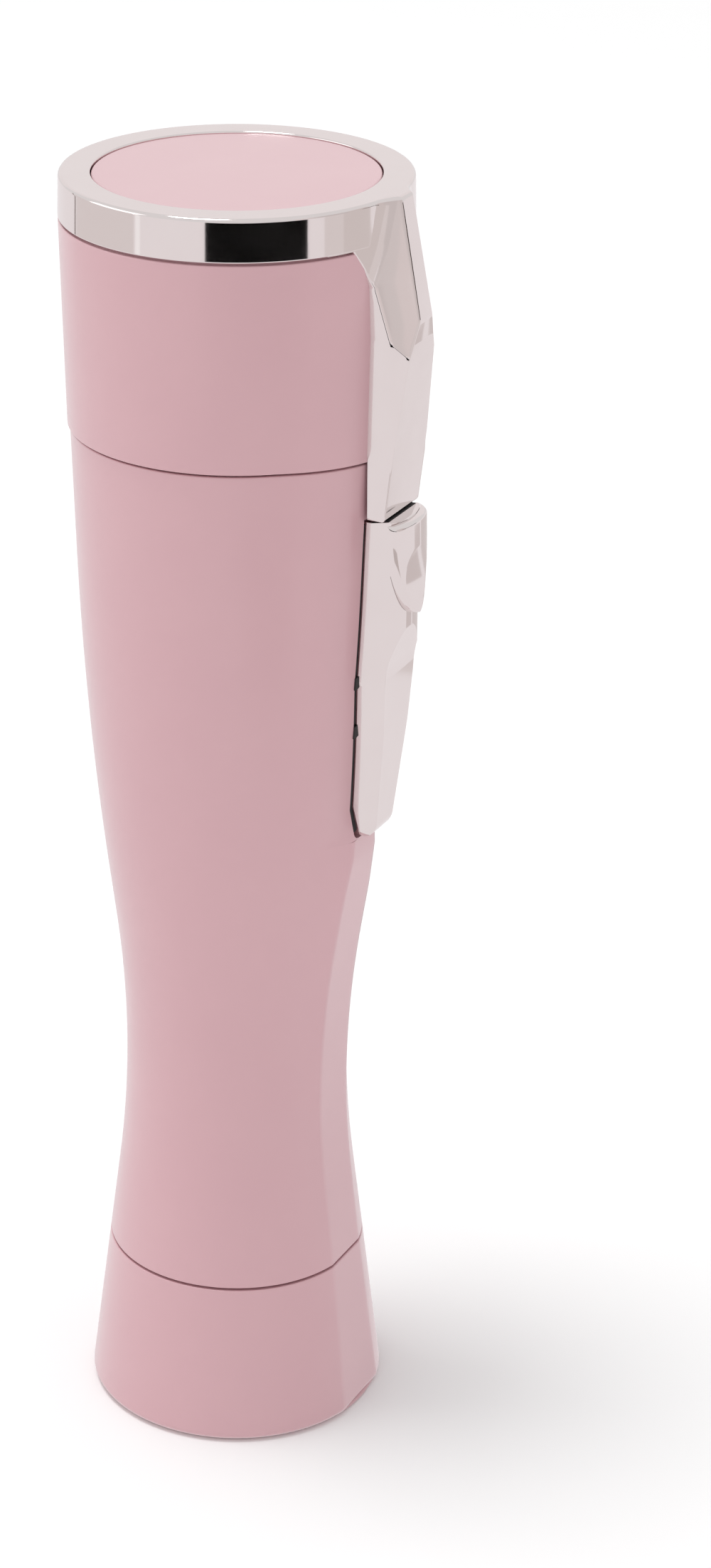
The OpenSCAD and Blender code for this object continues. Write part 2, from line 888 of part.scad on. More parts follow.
// Electric slide switch on the board, with the slot that its lever runs in
module slide_switch() {
    face = -board_y - board_t;
    front = -carriage_out[0] + 0.4;
    color(steel)
        difference() {
            box([-4.3, front, lever_z[0] - button_travel - 1], [4.3, face, lever_z[1] + 4]);
            box(
                [-1.2, -20, lever_z[0] - button_travel - 0.2],
                [1.2, -12.2, lever_z[1] + 0.3]
            );
        }
}

// Round plate that carries the motor below it and the head above it
module motor_mount() {
    color(white_plastic)
        difference() {
            translate([0, 0, mount_z])
                cylinder(r = mount_r, h = mount_t);
            translate([0, 0, mount_z - 1])
                cylinder(r = boss_r + run_fit, h = mount_t + 2);
            both_sides()
                translate([motor_screw_x, 0, mount_z - 1])
                    cylinder(r = pass_r, h = mount_t + 2);
            frame_screw_spots()
                translate([0, 0, mount_z - 1])
                    cylinder(r = tap_r, h = mount_t + 2);
            box([-4, -over, mount_z - 1], [4, -carriage_out[0] + 0.7, mount_z + mount_t + 1]);
        }
}

// Flat-sided steel can of the motor with its front boss
module motor_can() {
    color(steel)
        difference() {
            union() {
                intersection() {
                    translate([0, 0, motor_top_z - motor_len])
                        cylinder(r = motor_size[0] / 2, h = motor_len);
                    translate([-over, -motor_size[1] / 2, 0])
                        cube([2 * over, motor_size[1], 3 * over]);
                }
                translate([0, 0, motor_top_z - 1])
                    cylinder(r = boss_r, h = mount_t + 1);
            }
            translate([0, 0, motor_top_z - 9])
                cylinder(r = shaft_r + run_fit, h = over);
            both_sides()
                translate([motor_screw_x, 0, motor_top_z - 4])
                    cylinder(r = tap_r, h = 5);
        }
}

// Plastic end bell under the motor can
module motor_end_bell() {
    inset = 0.6;
    color(black_plastic)
        intersection() {
            translate([0, 0, motor_top_z - motor_len - end_bell_h])
                cylinder(r = motor_size[0] / 2 - inset, h = end_bell_h);
            translate([-over, -motor_size[1] / 2 + inset, 0])
                cube([2 * over, motor_size[1] - 2 * inset, 3 * over]);
        }
}

// Steel shaft of the motor
module motor_shaft() {
    low = motor_top_z - 8.8;
    color(steel)
        translate([0, 0, low])
            cylinder(r = shaft_r, h = pinion_mid_z + pinion_len / 2 + 0.8 - low);
}

// Brass pinion on the motor shaft, with a gap towards the crown gear
module motor_pinion() {
    color(copper)
        translate([0, 0, pinion_mid_z - pinion_len / 2])
            spur(pinion_teeth, pinion_len, shaft_r, 180 / pinion_teeth);
}

// Places of the four ears of the frame and of the foot of the gear bracket
bracket_screw = [-4, 9.5];
bracket_foot_t = 1.2;
module frame_screw_spots() {
    for (x = [-1, 1])
        for (y = [-1, 1])
            translate([x * ear_spot[0], y * ear_spot[1], 0])
                children();
    translate([bracket_screw[0], bracket_screw[1], 0])
        children();
}

// Frame of the head: two cheeks with eyes for the drum bushes, standing on two rails
module head_frame() {
    cheek_top_z = drum_z - 2.5;
    color(white_plastic)
        difference() {
            union() {
                for (side = [-1, 1]) {
                    rail = [side * rail_y, side * cheek_half_y];
                    box(
                        [-cheek_x - cheek_t, min(rail), deck_z],
                        [cheek_x + cheek_t, max(rail), deck_z + rail_h]
                    );
                }
                both_sides() {
                    box([cheek_x, -cheek_half_y, deck_z], [cheek_x + cheek_t, cheek_half_y, cheek_top_z]);
                    box([cheek_x, -eye_r, cheek_top_z - 1], [cheek_x + cheek_t, eye_r, drum_z]);
                    bar_x(eye_r, cheek_x, cheek_x + cheek_t, drum_z);
                    for (y = [-1, 1])
                        translate([ear_spot[0], y * ear_spot[1], deck_z])
                            cylinder(r = ear_r, h = rail_h);
                }
            }
            both_sides() {
                bar_x(bush_r + press_fit, cheek_x - 1, cheek_x + cheek_t + 1, drum_z);
                for (y = [-1, 1])
                    translate([ear_spot[0], y * ear_spot[1], deck_z - 1])
                        cylinder(r = pass_r, h = rail_h + 2);
            }
            for (z = [idler_z, crown_z])
                bar_x(pin_r + press_fit, cheek_x - 1, cheek_x + cheek_t + 1, z);
        }
}

// Bracket that holds the inner end of the crown gear's axle
module gear_bracket() {
    arm_x = [-1, 1.2];
    leg_y = [8, 10];
    arm_half_h = 1.8;
    color(steel)
        difference() {
            union() {
                box([arm_x[0], -2, crown_z - arm_half_h], [arm_x[1], leg_y[1], crown_z + arm_half_h]);
                box([arm_x[0], leg_y[0], deck_z], [arm_x[1], leg_y[1], crown_z + arm_half_h]);
                box(
                    [bracket_screw[0] - 2, leg_y[0], deck_z],
                    [arm_x[1], leg_y[1] + 1, deck_z + bracket_foot_t]
                );
            }
            bar_x(pin_r + press_fit, arm_x[0] - 1, arm_x[1] + 1, crown_z);
            translate([bracket_screw[0], bracket_screw[1], deck_z - 1])
                cylinder(r = pass_r, h = bracket_foot_t + 2);
        }
}

// Fixed steel pin that the crown gear turns on
module crown_axle() {
    color(steel)
        bar_x(pin_r, -1, cheek_x + cheek_t, crown_z);
}

// Crown gear with its hub and the small spur gear at the other end of the hub
module crown_gear() {
    root_x = pinion_r + dedendum;
    tip_x = pinion_r - addendum;
    half_t = (PI * gear_module / 2 - backlash) / 2 - 0.04;
    lean = tan(pressure_angle);
    face_in_r = crown_r - crown_face_w / 2;
    sink = 0.05;
    color(white_plastic)
        union() {
            difference() {
                translate([0, 0, crown_z])
                    rotate([0, 90, 0]) {
                        translate([0, 0, root_x])
                            cylinder(r = crown_r + crown_face_w / 2 + 0.3, h = crown_web);
                        translate([0, 0, root_x])
                            cylinder(r = hub_r, h = gear_x + sink - root_x);
                        for (k = [0:crown_teeth - 1])
                            rotate([0, 0, k * 360 / crown_teeth])
                                translate([face_in_r, 0, 0])
                                    rotate([90, 0, 90])
                                        linear_extrude(crown_face_w)
                                            polygon([
                                                [-half_t - dedendum * lean, root_x + sink],
                                                [-half_t + addendum * lean, tip_x],
                                                [half_t - addendum * lean, tip_x],
                                                [half_t + dedendum * lean, root_x + sink]
                                            ]);
                    }
                bar_x(pin_r + run_fit, 0, gear_x + gear_w, crown_z);
            }
            spur_x(spur_teeth, crown_z, pin_r + run_fit, false);
        }
}

// Fixed pin of the idler, with a head that keeps the gear on
module idler_pin() {
    head_x = gear_x - 1.1;
    head_r = 1.8;
    color(steel) {
        bar_x(pin_r, head_x, cheek_x + cheek_t, idler_z);
        bar_x(head_r, head_x, head_x + 0.6, idler_z);
    }
}

// Idler between the crown gear's small gear and the drum gear
module idler_gear() {
    color(white_plastic)
        spur_x(idler_teeth, idler_z, pin_r + run_fit, true);
}

// Two bearing bushes of the drum, in the eyes of the frame
module drum_bushes() {
    color(copper)
        both_sides()
            difference() {
                bar_x(bush_r, cheek_x - 0.3, cheek_x + cheek_t, drum_z);
                bar_x(drum_axle_r + run_fit, cheek_x - 2, cheek_x + cheek_t + 1, drum_z);
            }
}

// Steel axle of the drum
module drum_axle() {
    half = cheek_x + cheek_t - 0.2;
    color(steel)
        bar_x(drum_axle_r, -half, half, drum_z);
}

// Where the first tweezer stands, and the two ends of the drum's core
drum_left_x = -cheek_x + 0.8;
drum_right_x = gear_x - 0.2;
tweezer_x = (drum_left_x + drum_right_x - tweezer_pitch * tweezer_count) / 2;

// Plastic core of the drum
module drum_core() {
    color(black_plastic)
        difference() {
            bar_x(core_r, drum_left_x, drum_right_x, drum_z);
            bar_x(drum_axle_r, drum_left_x - 1, drum_right_x + 1, drum_z);
        }
}

// Gear that turns the drum, with a gap straight down
module drum_gear() {
    color(white_plastic)
        spur_x(drum_teeth, drum_z, drum_axle_r, false);
}

// One plate for each tweezer, along X, with scallops round its edge
module tweezer_plates(r, thick, offset_x, scallops, scallop_r, turn) {
    for (k = [0:tweezer_count - 1])
        translate([tweezer_x + k * tweezer_pitch + offset_x, 0, drum_z])
            rotate([0, 90, 0])
                linear_extrude(thick)
                    difference() {
                        circle(r = r);
                        circle(r = core_r);
                        for (i = [0:scallops - 1])
                            rotate(turn + i * 360 / scallops)
                                translate([r + scallop_r * 0.45, 0])
                                    circle(r = scallop_r);
                    }
}

// Fixed discs of the tweezers
module tweezer_discs() {
    color(steel)
        tweezer_plates(tweezer_r, 0.5, 0.3, 6, 1.2, 0);
}

// Gripping blades of the tweezers, one beside each disc
module tweezer_blades() {
    color(chrome)
        tweezer_plates(tweezer_r - 0.3, 0.4, 1.1, 3, 3.2, 30);
}

// Cover of the head: a cup with a window that the drum stands out of
module head_cover() {
    roof_z = cover_top_z - cover_wall;
    inner_r = cover_r - cover_wall;
    color(white_plastic)
        difference() {
            ring_of(concat(
                [[inner_r, deck_z], [cover_r, deck_z]],
                arc_corner([cover_r, deck_z], [cover_r, cover_top_z], [0, cover_top_z], 2, 8),
                [[0, cover_top_z], [0, roof_z], [inner_r - 0.5, roof_z], [inner_r, roof_z - 0.8]]
            ));
            box([-window[0] / 2, -window[1] / 2, roof_z - 5], [window[0] / 2, window[1] / 2, over * 3]);
            box([-4.2, -over, deck_z - 1], [4.2, 0, stem_z[1] + 2]);
        }
}

// Two screws that hold the motor to its mount
module motor_screws() {
    color(steel)
        both_sides()
            translate([motor_screw_x, 0, 0])
                screw(deck_z, 5);
}

// Four screws through the ears of the frame and one through the foot of the gear bracket
module frame_screws() {
    length = rail_h + mount_t - 0.4;
    color(steel) {
        for (x = [-1, 1])
            for (y = [-1, 1])
                translate([x * ear_spot[0], y * ear_spot[1], 0])
                    screw(deck_z + rail_h, length);
        translate([bracket_screw[0], bracket_screw[1], 0])
            screw(deck_z + bracket_foot_t, length + bracket_foot_t - rail_h);
    }
}

// Two long screws from under the foot pad into the chassis
module base_screws() {
    head_h = 1.2;
    top = spigot_top_z + 2;
    color(steel)
        both_sides()
            translate([boss_x, 0, 0]) {
                translate([0, 0, screw_seat_z - head_h])
                    cylinder(r = base_screw_head_r, h = head_h);
                translate([0, 0, screw_seat_z])
                    cylinder(r = base_screw_r, h = top - screw_seat_z);
            }
}

handle_sleeve();
base_cap();
foot_pad();
charge_socket();
switch_panel();
collar_ring();
cap_shell();
cap_ring();
cap_top_disc();
thumb_button();
button_carriage();
chassis_spine();
battery_cell();
battery_tabs();
power_leads();
circuit_board();
board_components();
slide_switch();
motor_mount();
motor_can();
motor_end_bell();
motor_shaft();
motor_pinion();
head_frame();
gear_bracket();
crown_axle();
crown_gear();
idler_pin();
idler_gear();
drum_bushes();
drum_axle();
drum_core();
drum_gear();
tweezer_discs();
tweezer_blades();
head_cover();
motor_screws();
frame_screws();
base_screws();
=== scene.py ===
"""Looks of a hand-held epilator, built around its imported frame.

The frame gives every piece's place. Lengths are metres, and MM turns a size in millimetres into
metres. The front of the object faces -Y, and "out" is the distance from the axis to the front.
"""

from __future__ import annotations

import json
import logging
import math
from collections.abc import Callable, Iterable, Sequence
from dataclasses import dataclass
from enum import Enum

import bmesh
import bpy
from mathutils import Matrix, Vector

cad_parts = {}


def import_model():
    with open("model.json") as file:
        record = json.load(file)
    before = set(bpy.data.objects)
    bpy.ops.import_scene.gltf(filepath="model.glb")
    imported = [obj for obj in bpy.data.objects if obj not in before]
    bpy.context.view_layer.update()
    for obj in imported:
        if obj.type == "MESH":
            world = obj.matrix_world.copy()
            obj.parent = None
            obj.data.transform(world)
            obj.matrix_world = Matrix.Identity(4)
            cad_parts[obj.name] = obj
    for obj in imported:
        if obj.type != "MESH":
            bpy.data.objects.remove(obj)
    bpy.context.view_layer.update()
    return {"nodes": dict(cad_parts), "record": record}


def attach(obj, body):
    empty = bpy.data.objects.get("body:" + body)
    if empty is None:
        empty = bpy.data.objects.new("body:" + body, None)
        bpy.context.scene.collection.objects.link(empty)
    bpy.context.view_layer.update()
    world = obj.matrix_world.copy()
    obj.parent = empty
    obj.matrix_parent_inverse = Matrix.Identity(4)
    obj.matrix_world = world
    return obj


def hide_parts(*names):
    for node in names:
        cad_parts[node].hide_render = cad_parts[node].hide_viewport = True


LOG = logging.getLogger("epilator")

MM = 0.001
# Points closer together than the first are one point, and the second keeps two just apart
WELD = 0.002 * MM
HAIR = 0.01 * MM
# Slack when a point is tested against a plane, and an angle against another
ON_PLANE = 1e-9
SAME_TURN = 1e-6
# Columns of a spun wall, and the greatest distance between its rings
COLUMNS = 240
COLUMN_STEP = math.tau / COLUMNS
RING_STEP = 2 * MM
# Columns are turned up to this many times as far round as the one that follows a line
STEER_REACH = 5
# Directions in which a wall can be shaped, as angles from +X, and how far round the front reaches
FRONT = -math.pi / 2
BACK = math.pi / 2
FRONT_REACH = math.pi / 3
# Points no further than this inside the outline belong to the outer wall
OUTER_SKIN = 0.45 * MM
# Straight pieces in an eased corner, across the hollow shield, over the ring's brow, along a card
EASE_STEPS = 4
SHIELD_STEPS = 24
BROW_STEPS = 6
CARD_STEPS = 24
# Greatest share of the lines beside it that an eased corner takes up
EASE_SHARE = 0.45
# How far the cap's seam dips at the front, between which angles from the front it eases out and
# by which power, and how near to the rim's height the points of its edge lie
SEAM_DIP = 0.8 * MM
SEAM_DIP_TURNS = (math.radians(13), math.radians(50))
SEAM_DIP_POWER = 1.2
RIM_REACH = 0.25 * MM
# Edges sharper than the first stay crisp, and those sharper than the second can be bevelled
CRISP = math.radians(34)
BEVELLED = math.radians(30)
# Distance of most mirror cards from the axis
CARD_R = 0.46

Point = tuple[float, float]
# A point with the radius of its fillet
Corner = tuple[float, float, float]
# Gives an edge's angle at a radius and height, or None where a wall stays as it is
EdgeLine = Callable[[float, float], float | None]


class Cut(Enum):
    """How one solid is combined with another."""

    JOIN = "UNION"
    TAKE_OUT = "DIFFERENCE"
    KEEP_COMMON = "INTERSECT"


class Grain(Enum):
    """How far the fine pattern of a finish is drawn out along each axis."""

    EVEN = (1.0, 1.0, 1.0)
    ALONG_Z = (1.0, 1.0, 0.03)


def clamped(share: float) -> float:
    """Keeps a share between 0 and 1."""
    return min(1.0, max(0.0, share))


def axis_distance(point: Vector) -> float:
    """Gives a point's distance from the Z axis."""
    return math.hypot(point.x, point.y)


def turn_from(facing: float, point: Vector) -> float:
    """Gives a point's angle from a direction, at most half a turn either way."""
    return math.remainder(math.atan2(point.y, point.x) - facing, math.tau)


def linear(hex_colour: str) -> tuple[float, float, float, float]:
    """Turns an sRGB colour into linear light.

    Args:
        hex_colour: Six hex digits, such as "cda4a8".

    Returns:
        Red, green, blue and alpha for a shader's socket.
    """
    channels = [int(hex_colour[i:i + 2], 16) / 255 for i in (0, 2, 4)]
    light = [c / 12.92 if c <= 0.04045 else ((c + 0.055) / 1.055) ** 2.4 for c in channels]
    return (*light, 1.0)


def add_node(
    tree: bpy.types.NodeTree, kind: str, inputs: dict[str | int, object], **traits: object
) -> bpy.types.Node:
    """Adds a node, sets its traits, and sets or links its inputs.

    Args:
        tree: Node tree that the node goes into.
        kind: Blender's name of the node's type.
        inputs: Socket names or numbers, each with a value or with an output to link.
        **traits: Settings of the node itself.

    Returns:
        The new node.
    """
    node = tree.nodes.new(kind)
    for name, value in traits.items():
        setattr(node, name, value)
    for name, value in inputs.items():
        if isinstance(value, bpy.types.NodeSocket):
            tree.links.new(value, node.inputs[name])
        else:
            node.inputs[name].default_value = value
    return node


@dataclass(frozen=True)
class Finish:
    """A finish: what a piece is made of, and what its surface shows.

    The colour drifts between colour and shade, and the roughness between its two values, in
    clouds of cloud_mm. A fine relief of grain_mm across and relief_mm high lies over them. The
    coat is a clear layer on top, given by its weight and its roughness.
    """

    name: str
    colour: str
    shade: str
    roughness: tuple[float, float]
    metallic: float = 0.0
    cloud_mm: float = 9.0
    grain_mm: float = 0.4
    relief_mm: float = 0.001
    grain: Grain = Grain.EVEN
    coat: Point = (0.0, 0.03)

    def material(self) -> bpy.types.Material:
        """Makes the material, once.

        Returns:
            The material, which later calls give back.
        """
        known = bpy.data.materials.get(self.name)
        if known:
            return known
        made = bpy.data.materials.new(self.name)
        made.use_nodes = True
        tree = made.node_tree
        shader = tree.nodes["Principled BSDF"]
        shader.inputs["Metallic"].default_value = self.metallic
        shader.inputs["Coat Weight"].default_value = self.coat[0]
        shader.inputs["Coat Roughness"].default_value = self.coat[1]
        place = add_node(tree, "ShaderNodeTexCoord", {}).outputs["Object"]
        cloud = add_node(
            tree, "ShaderNodeTexNoise",
            {"Vector": place, "Scale": 1 / (self.cloud_mm * MM), "Detail": 2.0},
        ).outputs["Fac"]
        colour = add_node(tree, "ShaderNodeValToRGB", {"Fac": cloud})
        colour.color_ramp.elements[0].color = linear(self.colour)
        colour.color_ramp.elements[1].color = linear(self.shade)
        tree.links.new(colour.outputs["Color"], shader.inputs["Base Color"])
        gloss = add_node(
            tree, "ShaderNodeMapRange",
            {"Value": cloud, "To Min": self.roughness[0], "To Max": self.roughness[1]},
        )
        tree.links.new(gloss.outputs["Result"], shader.inputs["Roughness"])
        drawn = add_node(tree, "ShaderNodeMapping", {"Vector": place, "Scale": self.grain.value})
        fine = add_node(
            tree, "ShaderNodeTexNoise",
            {"Vector": drawn.outputs["Vector"], "Scale": 1 / (self.grain_mm * MM), "Detail": 3.0},
        )
        bump = add_node(
            tree, "ShaderNodeBump",
            {"Height": fine.outputs["Fac"], "Distance": self.relief_mm * MM, "Strength": 1.0},
        )
        tree.links.new(bump.outputs["Normal"], shader.inputs["Normal"])
        return made


# Moulded ABS under a clear satin lacquer: even, with soft wide highlights and pale edges
SATIN_PINK = Finish("satin_pink_abs", "d1a5ab", "cea1a8", (0.30, 0.36), relief_mm=0.0005,
                    coat=(1.0, 0.24))
# Chromium over ABS: a bright mirror, a little wavy where the moulding has drawn in
CHROME = Finish(
    "chromium_on_abs", "ece4e3", "e8dfde", (0.05, 0.09), metallic=1.0,
    cloud_mm=5.0, grain_mm=3.0, relief_mm=0.002,
)
# Moulded ABS, plain and slightly matt
WHITE_ABS = Finish("white_abs", "eceae5", "e6e3dd", (0.38, 0.48), relief_mm=0.0008)
# Glass-filled nylon: near black, matt, with a faint speckle; it also paints the shade in the gaps
# round the switch panel
BLACK_NYLON = Finish("black_nylon", "121213", "19191b", (0.5, 0.62), cloud_mm=1.5, relief_mm=0.003)
# Moulded silicone rubber: dark and soft, with a dusty sheen
RUBBER = Finish("foot_rubber", "222123", "2b2a2c", (0.72, 0.85), cloud_mm=3.0, relief_mm=0.006)
# Rolled and turned steel with fine drawing lines
STEEL = Finish(
    "rolled_steel", "bfc0c2", "aeb0b3", (0.22, 0.36), metallic=1.0,
    cloud_mm=4.0, grain_mm=0.25, relief_mm=0.0015, grain=Grain.ALONG_Z,
)
# Stamped stainless steel, tumbled until it shines
TWEEZER_STEEL = Finish(
    "tumbled_stainless", "d4d4d6", "c6c7ca", (0.14, 0.24), metallic=1.0,
    cloud_mm=2.0, grain_mm=0.2, relief_mm=0.001,
)
# Turned brass with fine tool marks round the axis
BRASS = Finish(
    "turned_brass", "d8b25f", "c99f4e", (0.18, 0.3), metallic=1.0,
    cloud_mm=2.0, grain_mm=0.15, relief_mm=0.001, grain=Grain.ALONG_Z,
)
# Shrink film over the cell: smooth and glossy, a little wrinkled
CELL_FILM = Finish("cell_shrink_film", "35568c", "2f4d80", (0.18, 0.3), cloud_mm=8.0, grain_mm=2.5,
                   relief_mm=0.02)
# Solder mask over glass fibre, with the weave just showing
BOARD_MASK = Finish("solder_mask", "12522c", "0f4525", (0.25, 0.4), cloud_mm=2.0, grain_mm=0.6,
                    relief_mm=0.004)
# Extruded silicone sheath of the leads
SHEATH = Finish("lead_sheath", "a52a22", "96241d", (0.4, 0.5), relief_mm=0.002)

SLOT_FINISHES: dict[str, Finish] = {
    "pink_plastic": SATIN_PINK,
    "bright_chrome": CHROME,
    "white_plastic": WHITE_ABS,
    "black_plastic": BLACK_NYLON,
    "foot_rubber": RUBBER,
    "steel": STEEL,
    "tweezer_steel": TWEEZER_STEEL,
    "brass": BRASS,
    "cell_wrap": CELL_FILM,
    "board": BOARD_MASK,
    "lead_sheath": SHEATH,
}


def filleted(corners: Iterable[Corner], steps: int = 6) -> list[Point]:
    """Rounds the corners of an open or closed line.

    Args:
        corners: Points as (first, second, fillet radius), in order. The ends stay as they are.
        steps: Straight pieces in each rounded corner.

    Returns:
        The points of the rounded line.
    """
    corners = list(corners)
    line: list[Point] = []
    for index, (first, second, fillet) in enumerate(corners):
        here = Vector((first, second))
        if fillet <= 0 or index in (0, len(corners) - 1):
            line.append((first, second))
            continue
        back = (Vector(corners[index - 1][:2]) - here).normalized()
        ahead = (Vector(corners[index + 1][:2]) - here).normalized()
        half = back.angle(ahead) / 2
        centre = here + (back + ahead).normalized() * fillet / math.sin(half)
        start = here + back * fillet / math.tan(half) - centre
        sweep = start.angle_signed(here + ahead * fillet / math.tan(half) - centre)
        for step in range(steps + 1):
            spoke = start.copy()
            spoke.rotate(Matrix.Rotation(-sweep * step / steps, 2))
            line.append(tuple(centre + spoke))
    return line


def lathe(section: Sequence[Point]) -> bmesh.types.BMesh:
    """Spins a half section about the Z axis.

    Args:
        section: Points as (radius, height). It is closed unless both its ends lie on the axis.

    Returns:
        The closed solid.
    """
    bm = bmesh.new()
    ring = [bm.verts.new((radius, 0.0, height)) for radius, height in section]
    ends = list(zip(ring, ring[1:]))
    if section[0][0] > WELD or section[-1][0] > WELD:
        ends.append((ring[-1], ring[0]))
    edges = [bm.edges.new(pair) for pair in ends]
    bmesh.ops.spin(
        bm, geom=ring + edges, cent=(0, 0, 0), axis=(0, 0, 1), angle=math.tau,
        steps=COLUMNS, use_merge=True,
    )
    tidy(bm)
    return bm


def tidy(bm: bmesh.types.BMesh) -> None:
    """Welds doubled points and turns every face outwards.

    Args:
        bm: Solid to work on.
    """
    bmesh.ops.remove_doubles(bm, verts=bm.verts, dist=WELD)
    bmesh.ops.dissolve_degenerate(bm, edges=bm.edges, dist=WELD)
    bmesh.ops.recalc_face_normals(bm, faces=bm.faces)


def prism(outline: Sequence[Point], across: Vector, up: Vector, start: Vector, depth: Vector
          ) -> bmesh.types.BMesh:
    """Extrudes a flat outline into a closed solid.

    Args:
        outline: Points in the plane of across and up.
        across: Direction of a point's first number.
        up: Direction of a point's second number.
        start: Where the outline's zero lies.
        depth: How far, and which way, the outline is extruded.

    Returns:
        The closed solid.
    """
    bm = bmesh.new()
    face = bm.faces.new([bm.verts.new(start + across * a + up * b) for a, b in outline])
    pushed = bmesh.ops.extrude_face_region(bm, geom=[face], use_keep_orig=True)["geom"]
    moved = [item for item in pushed if isinstance(item, bmesh.types.BMVert)]
    bmesh.ops.translate(bm, verts=moved, vec=depth)
    tidy(bm)
    return bm


def carve(bm: bmesh.types.BMesh, point: Vector, normal: Vector) -> None:
    """Cuts away what lies in front of a plane and closes the cut.

    Args:
        bm: Solid to work on.
        point: Point of the plane.
        normal: Direction that the plane faces.
    """
    cut = bmesh.ops.bisect_plane(
        bm, geom=bm.verts[:] + bm.edges[:] + bm.faces[:], dist=WELD,
        plane_co=point, plane_no=normal, clear_outer=True,
    )
    rim = [item for item in cut["geom_cut"] if isinstance(item, bmesh.types.BMEdge)]
    if rim:
        bmesh.ops.edgeloop_fill(bm, edges=rim)


def soften(bm: bmesh.types.BMesh, width: float, segments: int,
           where: Callable[[bmesh.types.BMEdge], bool]) -> None:
    """Bevels sharp edges.

    Args:
        bm: Solid to work on.
        width: How wide the bevel is on each side of the edge.
        segments: Faces across the bevel.
        where: Test that a sharp edge has to pass.
    """
    edges = [
        edge for edge in bm.edges
        if edge.is_manifold and edge.calc_face_angle() > BEVELLED and where(edge)
    ]
    bmesh.ops.bevel(
        bm, geom=edges, offset=width, offset_type="OFFSET", affect="EDGES", segments=segments,
        profile=0.5, material=-1, clamp_overlap=True,
    )


def close_slits(bm: bmesh.types.BMesh) -> None:
    """Closes slits of no width and turns every face outwards.

    Args:
        bm: Solid to work on. Each slit goes to the face along its longest edge.
    """
    open_edges = [edge for edge in bm.edges if edge.is_boundary]
    for slit in bmesh.ops.holes_fill(bm, edges=open_edges)["faces"]:
        longest = max(slit.edges, key=lambda edge: edge.calc_length())
        bmesh.utils.face_join(list(longest.link_faces))
    bmesh.ops.recalc_face_normals(bm, faces=bm.faces)


def stand_up(bm: bmesh.types.BMesh, name: str) -> bpy.types.Object:
    """Makes an object of a mesh and puts it in the scene.

    Args:
        bm: The mesh, which is used up.
        name: Name of the object.

    Returns:
        The object.
    """
    mesh = bpy.data.meshes.new(name)
    bm.to_mesh(mesh)
    bm.free()
    thing = bpy.data.objects.new(name, mesh)
    bpy.context.scene.collection.objects.link(thing)
    return thing


def add_block(bm: bmesh.types.BMesh, size: Sequence[float], middle: Sequence[float]) -> None:
    """Adds a square block to a mesh.

    Args:
        bm: Mesh to work on.
        size: The block's size along each axis.
        middle: Where its middle lies.
    """
    made = bmesh.ops.create_cube(bm, size=1.0)["verts"]
    bmesh.ops.scale(bm, verts=made, vec=size)
    bmesh.ops.translate(bm, verts=made, vec=middle)


def combine(body: bmesh.types.BMesh, tool: bmesh.types.BMesh, how: Cut) -> bmesh.types.BMesh:
    """Combines two closed solids.

    Args:
        body: Solid that is changed. It is used up.
        tool: Solid that it is combined with. It is used up.
        how: What is kept.

    Returns:
        The new solid.
    """
    hosts = [stand_up(solid, "solid") for solid in (body, tool)]
    change = hosts[0].modifiers.new("change", "BOOLEAN")
    change.operation = how.value
    change.solver = "EXACT"
    change.object = hosts[1]
    shaped = hosts[0].evaluated_get(bpy.context.evaluated_depsgraph_get())
    result = bmesh.new()
    result.from_mesh(shaped.to_mesh())
    shaped.to_mesh_clear()
    for host in hosts:
        mesh = host.data
        bpy.data.objects.remove(host)
        bpy.data.meshes.remove(mesh)
    tidy(result)
    close_slits(result)
    return result


def eased(before: Point, corner: Point, after: Point, reach: float) -> list[Point]:
    """Rounds one corner of a line.

    Args:
        before: Point before the corner.
        corner: The corner.
        after: Point after the corner.
        reach: How far from the corner the rounding starts, where there is room for it.

    Returns:
        The points of the rounding.
    """
    here = Vector(corner)
    back = Vector(before) - here
    ahead = Vector(after) - here
    reach = min(reach, EASE_SHARE * back.length, EASE_SHARE * ahead.length)
    start = here + back.normalized() * reach
    stop = here + ahead.normalized() * reach
    line = []
    for step in range(EASE_STEPS + 1):
        share = step / EASE_STEPS
        point = start.lerp(here, share).lerp(here.lerp(stop, share), share)
        line.append((point.x, point.y))
    return line


def rings_between(low: float, high: float, marks: Sequence[float]) -> list[float]:
    """Gives heights for the rings of a wall.

    Args:
        low: Height of the wall's lower rim.
        high: Height of its upper rim.
        marks: Heights that have to have a ring.

    Returns:
        Heights between the two rims, without the rims themselves.
    """
    count = math.ceil((high - low) / RING_STEP)
    rings = [low + (high - low) * i / count for i in range(1, count)]
    rings = [z for z in rings if all(abs(z - mark) > RING_STEP / 3 for mark in marks)]
    return sorted(rings + [mark for mark in marks if low < mark < high])


def steer_columns(bm: bmesh.types.BMesh, facing: float, column: int, goal: EdgeLine) -> None:
    """Turns the columns of a spun wall, so that one of them follows a given line.

    Args:
        bm: Spun wall with COLUMNS columns.
        facing: Direction that the line lies on both sides of.
        column: Column, counted from that direction, that follows the line.
        goal: Gives the line's angle from the direction.
    """
    reach = STEER_REACH * column
    for vert in bm.verts:
        radius = axis_distance(vert.co)
        turn = turn_from(facing, vert.co)
        count = abs(turn) / COLUMN_STEP
        angle = goal(radius, vert.co.z) if radius > WELD and count < reach else None
        if angle is None:
            continue
        if count <= column:
            turned = angle * count / column
        else:
            rest = reach * COLUMN_STEP - angle
            turned = angle + rest * (count - column) / (reach - column)
        turned = facing + math.copysign(turned, turn)
        vert.co.x = radius * math.cos(turned)
        vert.co.y = radius * math.sin(turned)


